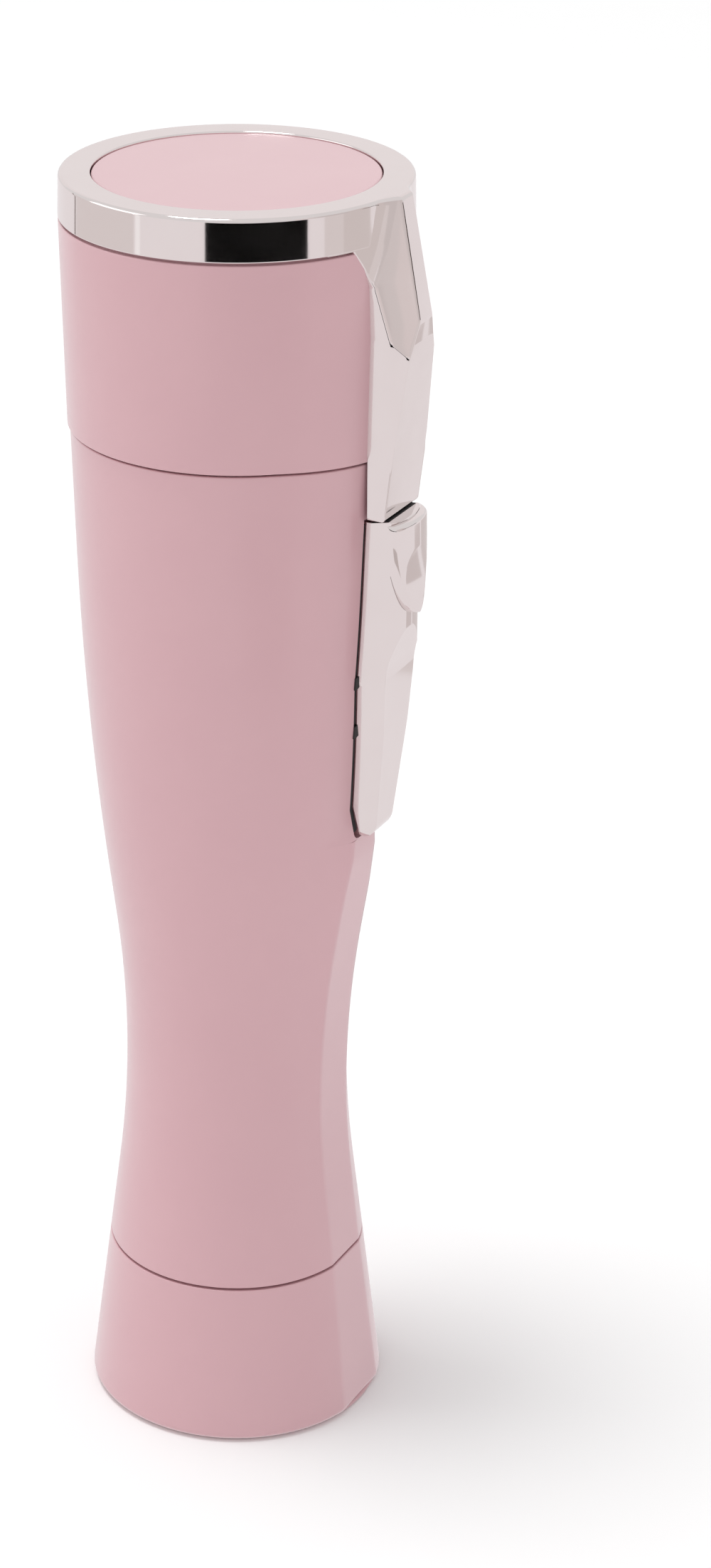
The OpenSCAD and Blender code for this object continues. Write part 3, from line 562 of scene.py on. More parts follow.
def dip_rim(bm: bmesh.types.BMesh, height: float, inside: float) -> None:
    """Lowers the outer edge of a rim towards the front, along the cap's seam.

    Args:
        bm: Spun wall that the rim belongs to.
        height: Height of the rim.
        inside: Radius that the edge lies outside.
    """
    near, far = SEAM_DIP_TURNS
    for vert in bm.verts:
        if abs(vert.co.z - height) < RIM_REACH and axis_distance(vert.co) > inside:
            share = clamped((far - abs(turn_from(FRONT, vert.co))) / (far - near))
            vert.co.z -= SEAM_DIP * share ** SEAM_DIP_POWER


def place_piece(bm: bmesh.types.BMesh, name: str, body: str, nodes: Sequence[str], slot: str,
                crisp: float = CRISP) -> None:
    """Makes a finished piece of a solid and sets it on its body.

    Args:
        bm: The solid, which is used up.
        name: Name of the piece.
        body: Body that it moves with.
        nodes: Nodes that it stands for.
        slot: Material slot, which also gives its finish.
        crisp: Edges sharper than this stay crisp.
    """
    piece = stand_up(bm, name)
    mesh = piece.data
    mesh.shade_smooth()
    mesh.set_sharp_from_angle(angle=crisp)
    mesh.materials.append(SLOT_FINISHES[slot].material())
    # Wide faces keep their own shading beside narrow bevels
    even = piece.modifiers.new("even_shading", "WEIGHTED_NORMAL")
    even.keep_sharp = True
    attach(piece, body)
    if nodes:
        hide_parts(*nodes)
    LOG.info("%s: %d faces, rides on %s", name, len(mesh.polygons), body)


def glowing(name: str, colour: str) -> bpy.types.Material:
    """Makes a material that gives off an even light.

    Args:
        name: Name of the material.
        colour: The light's sRGB colour, as six hex digits.

    Returns:
        The material.
    """
    paint = bpy.data.materials.new(name)
    paint.use_nodes = True
    tree = paint.node_tree
    glow = add_node(tree, "ShaderNodeEmission", {"Color": linear(colour)})
    tree.links.new(glow.outputs["Emission"], tree.nodes["Material Output"].inputs["Surface"])
    return paint


def only_in_mirrors(thing: bpy.types.Object) -> None:
    """Hides a thing from everything but reflections.

    Args:
        thing: Object to hide.
    """
    thing.visible_camera = False
    thing.visible_diffuse = False
    thing.visible_shadow = False


@dataclass(frozen=True)
class Viewpoint:
    """Camera that stands where the photograph was taken."""

    azimuth: float = math.radians(-62.0)
    distance: float = 424.64 * MM
    height: float = 276.95 * MM
    pitch: float = math.radians(24.53)
    focal_px: float = 5377.46
    axis_px: float = 333.0
    frame_px: tuple[int, int] = (1000, 2205)
    sensor_mm: float = 36.0
    near_clip: float = 10 * MM

    def build(self) -> None:
        """Makes the camera and gives it to the scene."""
        data = bpy.data.cameras.new("camera")
        data.sensor_width = self.sensor_mm
        data.lens = self.focal_px * self.sensor_mm / self.frame_px[1]
        data.shift_x = (self.frame_px[0] / 2 - self.axis_px) / self.frame_px[1]
        data.clip_start = self.near_clip
        camera = bpy.data.objects.new("camera", data)
        camera.location = self.around(0.0, self.distance, self.height)
        camera.rotation_euler = (math.pi / 2 - self.pitch, 0.0, self.azimuth)
        bpy.context.scene.collection.objects.link(camera)
        bpy.context.scene.camera = camera

    def around(self, aside: float, distance: float, height: float) -> Vector:
        """Gives a point by its angle to the right of the camera, distance and height."""
        turn = self.azimuth + aside
        return Vector((distance * math.sin(turn), -distance * math.cos(turn), height))


@dataclass(frozen=True)
class Softbox:
    """Soft square light that points at the object."""

    name: str
    aside_deg: float
    rise_deg: float
    distance: float
    size: float
    watts: float
    colour: str = "ffffff"

    def build(self, view: Viewpoint, target: Vector) -> None:
        """Makes the light.

        Args:
            view: Camera that the light's direction is measured from.
            target: Point that the light faces.
        """
        data = bpy.data.lights.new(self.name, "AREA")
        data.size = self.size
        data.energy = self.watts
        data.color = linear(self.colour)[:3]
        light = bpy.data.objects.new(self.name, data)
        rise = math.radians(self.rise_deg)
        flat = self.distance * math.cos(rise)
        light.location = view.around(math.radians(self.aside_deg), flat, 0.0)
        light.location.z = target.z + self.distance * math.sin(rise)
        light.rotation_euler = (light.location - target).to_track_quat("Z", "Y").to_euler()
        bpy.context.scene.collection.objects.link(light)


@dataclass(frozen=True)
class Card:
    """Card that only mirrors show, on an arc round the object.

    Its two edges are given by their distance from the axis and their height.
    """

    name: str
    from_deg: float
    to_deg: float
    low: Point
    high: Point
    grey: str

    def build(self, view: Viewpoint) -> None:
        """Makes the card.

        Args:
            view: Camera that the card's two ends are measured from.
        """
        bm = bmesh.new()
        start = math.radians(self.from_deg)
        ends = [bm.verts.new(view.around(start, *edge)) for edge in (self.low, self.high)]
        bmesh.ops.spin(
            bm, geom=[*ends, bm.edges.new(ends)], cent=(0, 0, 0), axis=(0, 0, 1),
            angle=math.radians(self.to_deg - self.from_deg), steps=CARD_STEPS,
        )
        card = stand_up(bm, self.name)
        card.data.materials.append(glowing(self.name, self.grey))
        only_in_mirrors(card)


@dataclass(frozen=True)
class Studio:
    """White floor, white surroundings and soft lights."""

    aim_z: float = 80 * MM
    floor_reach: float = 4.0
    floor_sides: int = 96
    floor_colour: str = "f7f7f7"
    floor_roughness: float = 0.9
    floor_shine: float = 0.1
    floor_in_mirrors: str = "f1edee"
    mirror_drop: float = 0.1 * MM
    ambient: float = 0.80
    ambient_colour: str = "ffffff"
    lights: tuple[Softbox, ...] = (
        Softbox("key", -102.0, 78.0, 2.6, 0.75, 23.0),
        Softbox("left", -85.0, 18.0, 0.7, 0.5, 0.6),
    )
    cards: tuple[Card, ...] = (
        Card("dark_card", -19.5, 44.5, (CARD_R, 0.025), (CARD_R, 0.085), "020202"),
        Card("grey_card", -121.5, -67.0, (CARD_R, 0.0), (CARD_R, 0.2), "e3dddc"),
        Card("white_strip", -66.0, -62.5, (CARD_R, 0.0), (CARD_R, 0.2), "ffffff"),
        Card("dark_strip", -124.5, -122.8, (CARD_R, 0.0), (CARD_R, 0.2), "978e8b"),
        Card("shield_light", 36.0, 44.0, (CARD_R, 0.12), (CARD_R, 0.34), "e9e2e1"),
        Card("shield_half_light", 44.0, 47.5, (CARD_R, 0.12), (CARD_R, 0.34), "e3dbda"),
        Card("shield_half_shade", 47.5, 51.0, (CARD_R, 0.12), (CARD_R, 0.34), "dbd5d4"),
        Card("shield_shade", 51.0, 74.0, (CARD_R, 0.12), (CARD_R, 0.34), "d4cecd"),
        Card("dim_card", 56.0, 70.0, (CARD_R, 0.0), (CARD_R, 0.12), "e2dcdb"),
        Card("dimmer_card", 70.0, 92.0, (CARD_R, 0.0), (CARD_R, 0.12), "d9d2d0"),
        Card("shield_edge", 74.0, 90.0, (CARD_R, 0.12), (CARD_R, 0.34), "d8d0ce"),
        Card("ridge_strip", 84.0, 112.5, (0.455, 0.108), (0.455, 0.15), "463f3d"),
        Card("low_dark_card", 5.0, 38.0, (0.2, 0.0), (0.2, 0.042), "c8c0be"),
        Card("shaded_floor", 130.0, 165.0, (0.2, 0.0002), (0.42, 0.0002), "d9d2d1"),
        Card("shaded_front", 112.0, 126.4, (0.25, 0.0002), (0.36, 0.0002), "d6cecd"),
        Card("half_shaded_front", 112.0, 126.4, (0.225, 0.0002), (0.25, 0.0002), "dfd8d7"),
        Card("back_card", 140.0, 220.0, (CARD_R, 0.2), (CARD_R, 0.5), "f2eeee"),
    )

    def build(self, view: Viewpoint) -> None:
        """Makes the floor, the surroundings, the lights and the cards.

        Args:
            view: Camera that directions are measured from.
        """
        scene = bpy.context.scene
        scene.view_settings.view_transform = "Standard"
        world = bpy.data.worlds.new("surroundings")
        world.use_nodes = True
        sky = world.node_tree.nodes["Background"]
        sky.inputs["Color"].default_value = linear(self.ambient_colour)
        sky.inputs["Strength"].default_value = self.ambient
        scene.world = world
        paper = bpy.data.materials.new("floor_paper")
        paper.use_nodes = True
        shader = paper.node_tree.nodes["Principled BSDF"]
        shader.inputs["Base Color"].default_value = linear(self.floor_colour)
        shader.inputs["Roughness"].default_value = self.floor_roughness
        shader.inputs["Specular IOR Level"].default_value = self.floor_shine
        self.disc("floor", 0.0, paper).visible_glossy = False
        glow = glowing("mirror_floor", self.floor_in_mirrors)
        only_in_mirrors(self.disc("floor_in_mirrors", -self.mirror_drop, glow))
        for light in self.lights:
            light.build(view, Vector((0.0, 0.0, self.aim_z)))
        for card in self.cards:
            card.build(view)

    def disc(self, name: str, height: float, paint: bpy.types.Material) -> bpy.types.Object:
        """Makes a round floor.

        Args:
            name: Name of the floor.
            height: Height that it lies at.
            paint: Its material.

        Returns:
            The floor.
        """
        bm = bmesh.new()
        bmesh.ops.create_circle(
            bm, cap_ends=True, segments=self.floor_sides, radius=self.floor_reach
        )
        bmesh.ops.translate(bm, verts=bm.verts, vec=(0, 0, height))
        floor = stand_up(bm, name)
        floor.data.materials.append(paint)
        return floor


@dataclass(frozen=True)
class Outline:
    """Outer line of the base and handle: three straight lines joined by two wide arcs."""

    base_r: float = 18.75 * MM
    waist: Point = (12.7 * MM, 48.75 * MM)
    waist_blend: float = 139 * MM
    shoulder: Point = (18.27 * MM, 93.4 * MM)
    shoulder_blend: float = 450 * MM
    top: Point = (19.5 * MM, 130 * MM)
    flat_depth: float = 0.57 * MM
    flat_top: float = 78 * MM
    land_half: float = 3.6 * MM
    land_bend: float = 72 * MM
    land_taper: float = 0.1
    land_rise: float = 1.05 * MM
    land_power: float = 1.25
    land_low: float = 40 * MM
    land_end: Point = (79.5 * MM, 84 * MM)

    def radius_at(self, height: float) -> float:
        """Gives the radius of the outline.

        Args:
            height: Height of the point.

        Returns:
            The radius, on an arc near the waist and the shoulder and on a line elsewhere.
        """
        knots = [Vector(knot) for knot in ((self.base_r, 0.0), self.waist, self.shoulder, self.top)]
        blends = (self.waist_blend, self.shoulder_blend)
        for before, corner, after, blend in zip(knots, knots[1:], knots[2:], blends):
            back = (before - corner).normalized()
            ahead = (after - corner).normalized()
            half = back.angle(ahead) / 2
            run = blend / math.tan(half)
            if corner.y + back.y * run < height < corner.y + ahead.y * run:
                centre = corner + (back + ahead).normalized() * blend / math.sin(half)
                rise = math.sqrt(blend ** 2 - (height - centre.y) ** 2)
                return centre.x - math.copysign(rise, centre.x)
        low, high = next(
            (pair for pair in zip(knots, knots[1:]) if height <= pair[1].y), (knots[-2], knots[-1])
        )
        return low.x + (high.x - low.x) * (height - low.y) / (high.y - low.y)

    def flat_at(self, height: float) -> float:
        """Gives how far out the front flat lies.

        Args:
            height: Height of the point.

        Returns:
            The distance from the axis, with the rise of the land below the panel.
        """
        up = max(0.0, (height - self.land_low) / (self.flat_top - self.land_low))
        sunk = self.flat_depth * (1 - height / self.flat_top)
        return self.radius_at(height) - sunk + self.land_rise * up ** self.land_power

    def corner_at(self, height: float) -> Point:
        """Gives the corner of the front flat.

        Args:
            height: Height of the point.

        Returns:
            The corner as (distance aside, distance out).
        """
        circle = self.radius_at(height)
        below = min(height, self.flat_top)
        proud = self.flat_at(below) - self.radius_at(below)
        start, stop = self.land_end
        out = circle + proud * clamped((stop - height) / (stop - start))
        chord = math.sqrt(max(0.0, circle ** 2 - out ** 2))
        return max(chord, self.land_half - self.land_taper * max(0.0, height - self.land_bend)), out

    def rim_r(self, aside: float, height: float) -> float:
        """Gives the radius of the wall at a distance aside of the front."""
        return self.front_r(math.asin(aside / self.radius_at(height)), height)

    def front_r(self, turn: float, height: float) -> float:
        """Gives the radius of the wall near the front.

        Args:
            turn: Angle from the front.
            height: Height of the point.

        Returns:
            The radius: flat up to the corner, then straight until it meets the round wall.
        """
        circle = self.radius_at(height)
        if height >= self.land_end[1]:
            return circle
        aside, out = self.corner_at(height)
        corner = math.atan2(aside, out)
        if turn <= corner + SAME_TURN:
            return out / math.cos(turn)
        meet = corner + math.acos(min(1.0, circle / math.hypot(aside, out)))
        return circle / math.cos(meet - turn) if turn < meet else circle

    def flatten(self, bm: bmesh.types.BMesh, column: int, edge: EdgeLine) -> None:
        """Shapes the front of a wall, whose columns are turned to follow the flat's edge.

        Args:
            bm: The wall.
            column: Column that follows the edge.
            edge: Gives the edge's angle from the front.
        """
        steer_columns(bm, FRONT, column, edge)
        for vert in bm.verts:
            radius = axis_distance(vert.co)
            turn = turn_from(FRONT, vert.co)
            if edge(radius, vert.co.z) is None or abs(turn) > FRONT_REACH:
                continue
            inset = self.radius_at(vert.co.z) - radius
            shaped = self.front_r(abs(turn), vert.co.z) - inset
            vert.co.x = shaped * math.sin(turn)
            vert.co.y = -shaped * math.cos(turn)

    def is_inner(self, radius: float, height: float) -> bool:
        """Tells whether a point lies inside the outer wall."""
        return self.radius_at(height) - radius > OUTER_SKIN

    def flat_edge(self, radius: float, height: float) -> float | None:
        """Gives the angle of the flat's edge from the front.

        Args:
            radius: The point's distance from the axis.
            height: Height of the point.

        Returns:
            The angle, or None above the flat and inside the outer wall.
        """
        if self.is_inner(radius, height) or height >= self.land_end[1]:
            return None
        aside, out = self.corner_at(height)
        return math.atan2(aside, out)


@dataclass(frozen=True)
class PanelSeat:
    """Where the switch panel sits in the handle: its tapered sides and its slanted back."""

    low: float = 80.8 * MM
    high: float = 121.8 * MM
    half_w: float = 3.8 * MM
    low_half: float = 1.99 * MM
    taper: float = 0.0875
    gap: float = 0.35 * MM
    low_gap: float = 0.5 * MM
    corner: float = 1.0 * MM
    corner_steps: int = 5
    ring_below: float = 0.1 * MM
    back: tuple[Point, Point] = ((15.75 * MM, 80 * MM), (18.3 * MM, 122.7 * MM))

    def half_at(self, height: float) -> float:
        """Gives the panel's half width at a height."""
        return min(self.half_w, self.low_half + self.taper * (height - self.low))

    def gap_at(self, height: float) -> float:
        """Gives the width of the gap beside the panel at a height."""
        share = clamped((self.high - height) / (self.high - self.low))
        return self.gap + (self.low_gap - self.gap) * share

    def back_at(self, height: float) -> float:
        """Gives how far out the panel's back lies at a height."""
        (low_out, low_z), (high_out, high_z) = self.back
        return low_out + (high_out - low_out) * (height - low_z) / (high_z - low_z)


@dataclass(frozen=True)
class Handle:
    """Base and handle: two satin shells that meet at the lower seam."""

    outline: Outline
    seat: PanelSeat
    seam: float = 21 * MM
    seam_gap: float = 0.3 * MM
    rim: float = 129.85 * MM
    wall: float = 2.2 * MM
    inner_every: int = 6
    edge: float = 0.18 * MM
    rim_lift: float = 0.2 * MM
    foot_round: float = 0.9 * MM
    well_gap: float = 0.1 * MM
    well_round: float = 0.2 * MM
    pad_r: float = 13.9 * MM
    pad_t: float = 1.2 * MM
    pad_rounds: Point = (0.3 * MM, 0.1 * MM)
    floor_z: float = 2.4 * MM
    spigot_r: float = 13.2 * MM
    spigot_wall: float = 1.8 * MM
    spigot_top: float = 26 * MM
    spigot_round: float = 0.3 * MM
    port_z: float = 10 * MM
    port_half: Point = (4.8 * MM, 1.9 * MM)
    port_floor: float = 9.5 * MM
    port_steps: int = 8
    flat_column: int = 6

    def build(self) -> None:
        """Makes the sleeve, the base and the foot pad."""
        place_piece(self.sleeve(), "handle_shell", "handle", ["handle_sleeve"], "pink_plastic")
        place_piece(self.base(), "base_shell", "handle", ["base_cap"], "pink_plastic")
        place_piece(self.pad(), "foot_pad_disc", "handle", ["foot_pad"], "foot_rubber")

    def sleeve(self) -> bmesh.types.BMesh:
        """Makes the handle's shell, with its front flat and the pocket of the panel.

        Returns:
            The closed solid.
        """
        seat = self.seat
        low = self.seam + self.seam_gap / 2
        pocket = (seat.low - seat.gap, seat.high + seat.gap)
        radius = self.outline.radius_at
        steps = seat.corner_steps
        curve = [pocket[0] + seat.corner * i / steps for i in range(steps + 1)]
        marks = [self.outline.flat_top, pocket[0] - seat.ring_below, *curve, pocket[1]]
        rings = rings_between(low, self.rim, marks)
        inside = [low, *rings[::self.inner_every], self.rim]
        bm = lathe(filleted(
            [(radius(low) - self.wall / 2, low, 0.0), (radius(low), low, self.edge)]
            + [(radius(z), z, 0.0) for z in rings]
            + [(radius(self.rim), self.rim, self.edge)]
            + [(radius(z) - self.wall, z, 0.0) for z in reversed(inside)]
        ))
        self.outline.flatten(bm, self.flat_column, self.front_edge)
        for vert in self.sink(bm, FRONT, pocket, self.front_edge):
            vert.co.y = -seat.back_at(vert.co.z)
        dip_rim(bm, self.rim, radius(self.rim) - 2 * self.edge)
        tidy(bm)
        return bm

    def front_edge(self, radius: float, height: float) -> float | None:
        """Gives the angle from the front of the flat's edge, and of the pocket's side above it.

        Args:
            radius: The point's distance from the axis.
            height: Height of the point.

        Returns:
            The angle, or None inside the outer wall.
        """
        seat = self.seat
        if height < seat.low - seat.gap - WELD:
            return self.outline.flat_edge(radius, height)
        if self.outline.is_inner(radius, height):
            return None
        half = seat.half_at(max(height, seat.low)) + seat.gap_at(height)
        short = max(0.0, seat.corner - max(0.0, height - seat.low + seat.gap))
        half -= seat.corner - math.sqrt(seat.corner ** 2 - short ** 2)
        return math.asin(half / radius)

    def port_edge(self, radius: float, height: float) -> float | None:
        """Gives the angle of the charging port's end from the back.

        Args:
            radius: The point's distance from the axis.
            height: Height of the point.

        Returns:
            The angle, or None inside the outer wall.
        """
        if self.outline.is_inner(radius, height):
            return None
        wide, tall = self.port_half
        end = math.sqrt(max(0.0, tall ** 2 - (height - self.port_z) ** 2))
        return math.asin((wide - tall + end) / radius)

    def sink(self, bm: bmesh.types.BMesh, facing: float, span: Point, edge: EdgeLine
             ) -> list[bmesh.types.BMVert]:
        """Pushes a patch of the outer wall inwards.

        Args:
            bm: The wall.
            facing: Direction that the patch lies in.
            span: Lowest and highest height of the patch.
            edge: Gives the angle of the patch's side.

        Returns:
            The points of the patch, which still have to be moved.
        """
        patch = []
        for face in bm.faces:
            middle = face.calc_center_median()
            angle = edge(axis_distance(middle), middle.z)
            within = angle is not None and abs(turn_from(facing, middle)) < angle
            if within and span[0] < middle.z < span[1]:
                patch.append(face)
        pushed = bmesh.ops.extrude_face_region(bm, geom=patch)["geom"]
        bmesh.ops.delete(bm, geom=patch, context="FACES")
        return [item for item in pushed if isinstance(item, bmesh.types.BMVert)]

    def base(self) -> bmesh.types.BMesh:
        """Makes the base's shell, with its front flat and the opening of the charging port.

        Returns:
            The closed solid.
        """
        top = self.seam - self.seam_gap / 2
        radius = self.outline.radius_at
        tall = self.port_half[1]
        bore = self.spigot_r - self.spigot_wall
        well = self.pad_r + self.well_gap
        steps = self.port_steps
        turns = [i * math.pi / (2 * steps) for i in range(-steps, steps + 1)]
        curve = [self.port_z + tall * math.sin(turn) for turn in turns]
        rings = rings_between(self.rim_lift, top, curve)
        bm = lathe(filleted(
            [
                (0.0, self.pad_t, 0.0),
                (well, self.pad_t, 0.0),
                (well, self.rim_lift, self.well_round),
                (radius(self.rim_lift), self.rim_lift, self.foot_round),
            ]
            + [(radius(z), z, 0.0) for z in rings[1:]]
            + [
                (radius(top), top, self.edge),
                (self.spigot_r, top, 0.0),
                (self.spigot_r, self.spigot_top, self.spigot_round),
                (bore, self.spigot_top, self.spigot_round),
                (bore, self.floor_z, 0.0),
                (0.0, self.floor_z, 0.0),
            ]
        ))
        self.outline.flatten(bm, self.flat_column, self.outline.flat_edge)
        steer_columns(bm, BACK, self.flat_column, self.port_edge)
        port = (self.port_z - tall, self.port_z + tall)
        for vert in self.sink(bm, BACK, port, self.port_edge):
            vert.co.y = self.port_floor
        tidy(bm)
        return bm

    def pad(self) -> bmesh.types.BMesh:
        """Makes the rubber disc that the object stands on.

        Returns:
            The closed solid.
        """
        return lathe(filleted([
            (0.0, 0.0, 0.0),
            (self.pad_r, 0.0, self.pad_rounds[0]),
            (self.pad_r, self.pad_t, self.pad_rounds[1]),
            (0.0, self.pad_t, 0.0),
        ]))


@dataclass(frozen=True)
class Hollow:
    """Level line in which a round wall turns into a slanted plane, through a hollow arc.

    The plane is given by how far out it lies in the middle, and by how much less it does aside.
    """

    wall: float
    plane: float
    slope: float
    arc: float

    @property
    def centre(self) -> Point:
        """Centre of the arc, as (distance aside, distance out)."""
        square = 1 + self.slope ** 2
        out = self.plane + self.arc * math.sqrt(square)
        inside = (out * self.slope) ** 2 - square * (out ** 2 - (self.wall + self.arc) ** 2)
        aside = (out * self.slope - math.sqrt(max(0.0, inside))) / square
        return aside, out - self.slope * aside

    @property
    def ends(self) -> Point:
        """How far aside the arc meets the plane and the wall."""
        aside = self.centre[0]
        lean = self.slope / math.hypot(1.0, self.slope)
        return aside - self.arc * lean, aside * self.wall / (self.wall + self.arc)

    def out_at(self, aside: float) -> float:
        """Gives how far out the line lies.

        Args:
            aside: Distance of the point from the middle.

        Returns:
            The distance out, on the plane, the arc or the wall.
        """
        inner, outer = self.ends
        if aside <= inner:
            return self.plane - self.slope * aside
        if aside >= outer:
            return math.sqrt(self.wall ** 2 - aside ** 2)
        middle, out = self.centre
        return out - math.sqrt(self.arc ** 2 - (aside - middle) ** 2)


@dataclass(frozen=True)
class Cap:
    """Lift-off cap: a satin skirt, a plated ring with a faceted tongue, and a satin disc."""

    low: float = 130.15 * MM
    low_r: float = 19.8 * MM
    high_r: float = 20.48 * MM
    wall: float = 1.6 * MM
    groove: Point = (0.7 * MM, 0.3 * MM)
    ring_low: float = 155 * MM
    top: float = 160 * MM
    ring_r: Point = (20.5 * MM, 20.38 * MM)
    ring_round: float = 0.45 * MM
    ring_inner_round: float = 0.2 * MM
    ring_crisp: float = math.radians(20)
    neck_r: float = 19.0 * MM
    neck_top: float = 157.6 * MM
    neck_fit: float = 0.05 * MM
    roof: float = 1.4 * MM
    roof_rounds: Point = (0.5 * MM, 1.0 * MM)
    roof_step: Point = (0.3 * MM, 0.6 * MM)
    hidden_round: float = 0.1 * MM
    disc_r: float = 16.6 * MM
    disc_gap: float = 0.1 * MM
    disc_top: float = 159.8 * MM
    disc_round: float = 0.25 * MM
    tongue_low: float = 122.4 * MM
    # Heights with the tongue's half widths
    sides: tuple[Point, ...] = (
        (122.4 * MM, 4.5 * MM),
        (144 * MM, 4.85 * MM),
        (150.3 * MM, 5.4 * MM),
        (152.6 * MM, 6.3 * MM),
        (155 * MM, 8.0 * MM),
    )
    # The front's furthest point as (distance out, height), and its slopes below and above it
    ridge: Point = (24.2 * MM, 146 * MM)
    slopes: Point = (0.114, 0.193)
    tongue_back: float = 12 * MM
    flow_r: float = 8 * MM
    flow_half: float = 11 * MM
    flank_step: float = 0.03 * MM
    side_drops: tuple[float, ...] = (2.4 * MM, 1.8 * MM, 1.4 * MM, 1.0 * MM, 0.6 * MM)
    corner_round: float = 0.12 * MM
    knee_round: float = 0.06 * MM
    # Least shares of a side that stay in front of its knee and behind it
    knee_shares: Point = (0.25, 0.3)
    facet_least: float = 0.3 * MM
    tip_room: float = 0.4 * MM
    ridge_round: float = 0.32 * MM
    ridge_share: float = 0.3
    # Distances from the ridge at which rows of the mesh lie and others may start
    ridge_rows: Point = (0.12 * MM, 0.2 * MM)
    # Heights up to which rows lie that far apart
    row_steps: tuple[Point, ...] = (
        (141 * MM, 0.6 * MM),
        (152.6 * MM, 0.2 * MM),
        (154 * MM, 0.07 * MM),
    )
    top_row_step: float = 0.3 * MM
    bevel_out: float = 27.215 * MM
    bevel_slope: float = 1.083
    shield_out: float = 22.66 * MM
    shield_slope: float = 0.813
    shield_lean: float = 0.203
    shield_dip: float = 3.4
    chin_out: float = 19.5 * MM
    chin_facing: Point = (-0.7 * MM, -2 * MM)
    # Rows above the tongue's low end, each with how far it is drawn in
    chin_rows: tuple[Point, ...] = ((0.0, 0.25 * MM), (0.1 * MM, 0.1 * MM), (0.3 * MM, 0.0))
    chin_edge: float = 0.15 * MM
    sleeve_clear: float = 19.85 * MM
    bore_span: Point = (100 * MM, 165 * MM)
    bore_step: float = 3 * MM
    skirt_lap: float = 0.1 * MM
    ring_lap: float = 1 * MM
    edge: float = 0.18 * MM

    def build(self) -> None:
        """Makes the skirt, the ring with its tongue, and the disc."""
        place_piece(self.skirt(), "cap_skirt", "cap", ["cap_shell"], "pink_plastic")
        place_piece(self.ring(), "cap_ring_and_tongue", "cap", ["cap_ring"], "bright_chrome",
                    crisp=self.ring_crisp)
        place_piece(self.disc(), "cap_disc", "cap", ["cap_top_disc"], "pink_plastic")

    def skirt(self) -> bmesh.types.BMesh:
        """Makes the skirt with its closed roof.

        Returns:
            The closed solid.
        """
        roof = self.neck_top - self.roof
        step_in, step_down = self.roof_step
        groove_r = self.high_r - self.groove[0]
        brim = self.ring_low - self.groove[1]
        bm = lathe(filleted([
            (0.0, roof, 0.0),
            (self.neck_r - self.roof, roof, self.roof_rounds[0]),
            (self.high_r - self.wall - step_in, self.ring_low - step_down, self.roof_rounds[1]),
            (self.low_r - self.wall, self.low, self.hidden_round),
            (self.low_r, self.low, self.edge),
            (self.skirt_r(brim), brim, self.edge),
            (groove_r, brim, 0.0),
            (groove_r, self.ring_low, 0.0),
            (self.neck_r, self.ring_low, 0.0),
            (self.neck_r, self.neck_top, self.hidden_round),
            (0.0, self.neck_top, 0.0),
        ]))
        dip_rim(bm, self.low, self.low_r - 2 * self.edge)
        return bm

    def disc(self) -> bmesh.types.BMesh:
        """Makes the disc inside the ring.

        Returns:
            The closed solid.
        """
        return lathe(filleted([
            (0.0, self.neck_top, 0.0),
            (self.disc_r, self.neck_top, 0.0),
            (self.disc_r, self.disc_top, self.disc_round),
            (0.0, self.disc_top, 0.0),
        ]))

    def ring(self) -> bmesh.types.BMesh:
        """Makes the ring, joined to its tongue.

        Returns:
            The closed solid.
        """
        inner = self.disc_r + self.disc_gap
        neck = self.neck_r + self.neck_fit
        shelf = self.neck_top + self.neck_fit
        ring = lathe(filleted([
            (inner, shelf, 0.0),
            (neck, shelf, 0.0),
            (neck, self.ring_low, 0.0),
            (self.ring_r[0], self.ring_low, self.edge),
            (self.ring_r[1], self.top, self.ring_round),
            (inner, self.top, self.ring_inner_round),
            (inner, shelf, 0.0),
        ])[:-1])
        return combine(ring, self.tongue(), Cut.JOIN)

    def skirt_r(self, height: float) -> float:
        """Gives the radius of the skirt at a height."""
        share = (height - self.low) / (self.ring_low - self.low)
        return self.low_r + (self.high_r - self.low_r) * share

    def wall_r(self, height: float) -> float:
        """Gives the radius of the ring's wall at a height."""
        share = (height - self.ring_low) / (self.top - self.ring_low)
        return self.ring_r[0] + (self.ring_r[1] - self.ring_r[0]) * share

    def flank_r(self, height: float) -> float:
        """Gives the radius of the tongue's flanks, just inside the ring's wall."""
        return self.wall_r(max(height, self.ring_low)) - HAIR

    def side_at(self, height: float) -> float:
        """Gives the tongue's half width.

        Args:
            height: Height of the section.

        Returns:
            The half width, on straight lines between the given sides.
        """
        for (low, near), (high, far) in zip(self.sides, self.sides[1:]):
            if height <= high:
                return near + (far - near) * (height - low) / (high - low)
        return self.sides[-1][1]

    def half_section(self, height: float) -> list[Point]:
        """Gives the right half of the tongue's section.

        Args:
            height: Height of the section.

        Returns:
            Points as (distance aside, distance out), from the back to the middle of the front.
        """
        half = self.side_at(height)
        rise = height - self.ridge[1]
        front = self.ridge[0] + rise * (self.slopes[0] if rise < 0 else -self.slopes[1])
        shield = self.shield_out + self.shield_lean * (self.top - height)
        hollow = Hollow(self.flank_r(height), shield, self.shield_slope, self.flow_r)
        bevel = self.bevel_out
        tip = min((shield - front) / self.shield_slope, (bevel - front) / self.bevel_slope)
        shielded = tip * self.bevel_slope < bevel - front - WELD
        tip = min(tip, half - self.tip_room)
        meet = (bevel - shield) / (self.bevel_slope - self.shield_slope)
        bevelled = meet < half

        def face(aside: float) -> float:
            """Gives how far out the tongue's facets lie at a distance aside."""
            beside = bevel - self.bevel_slope * aside if bevelled else front
            return min(front, beside, hollow.out_at(aside))

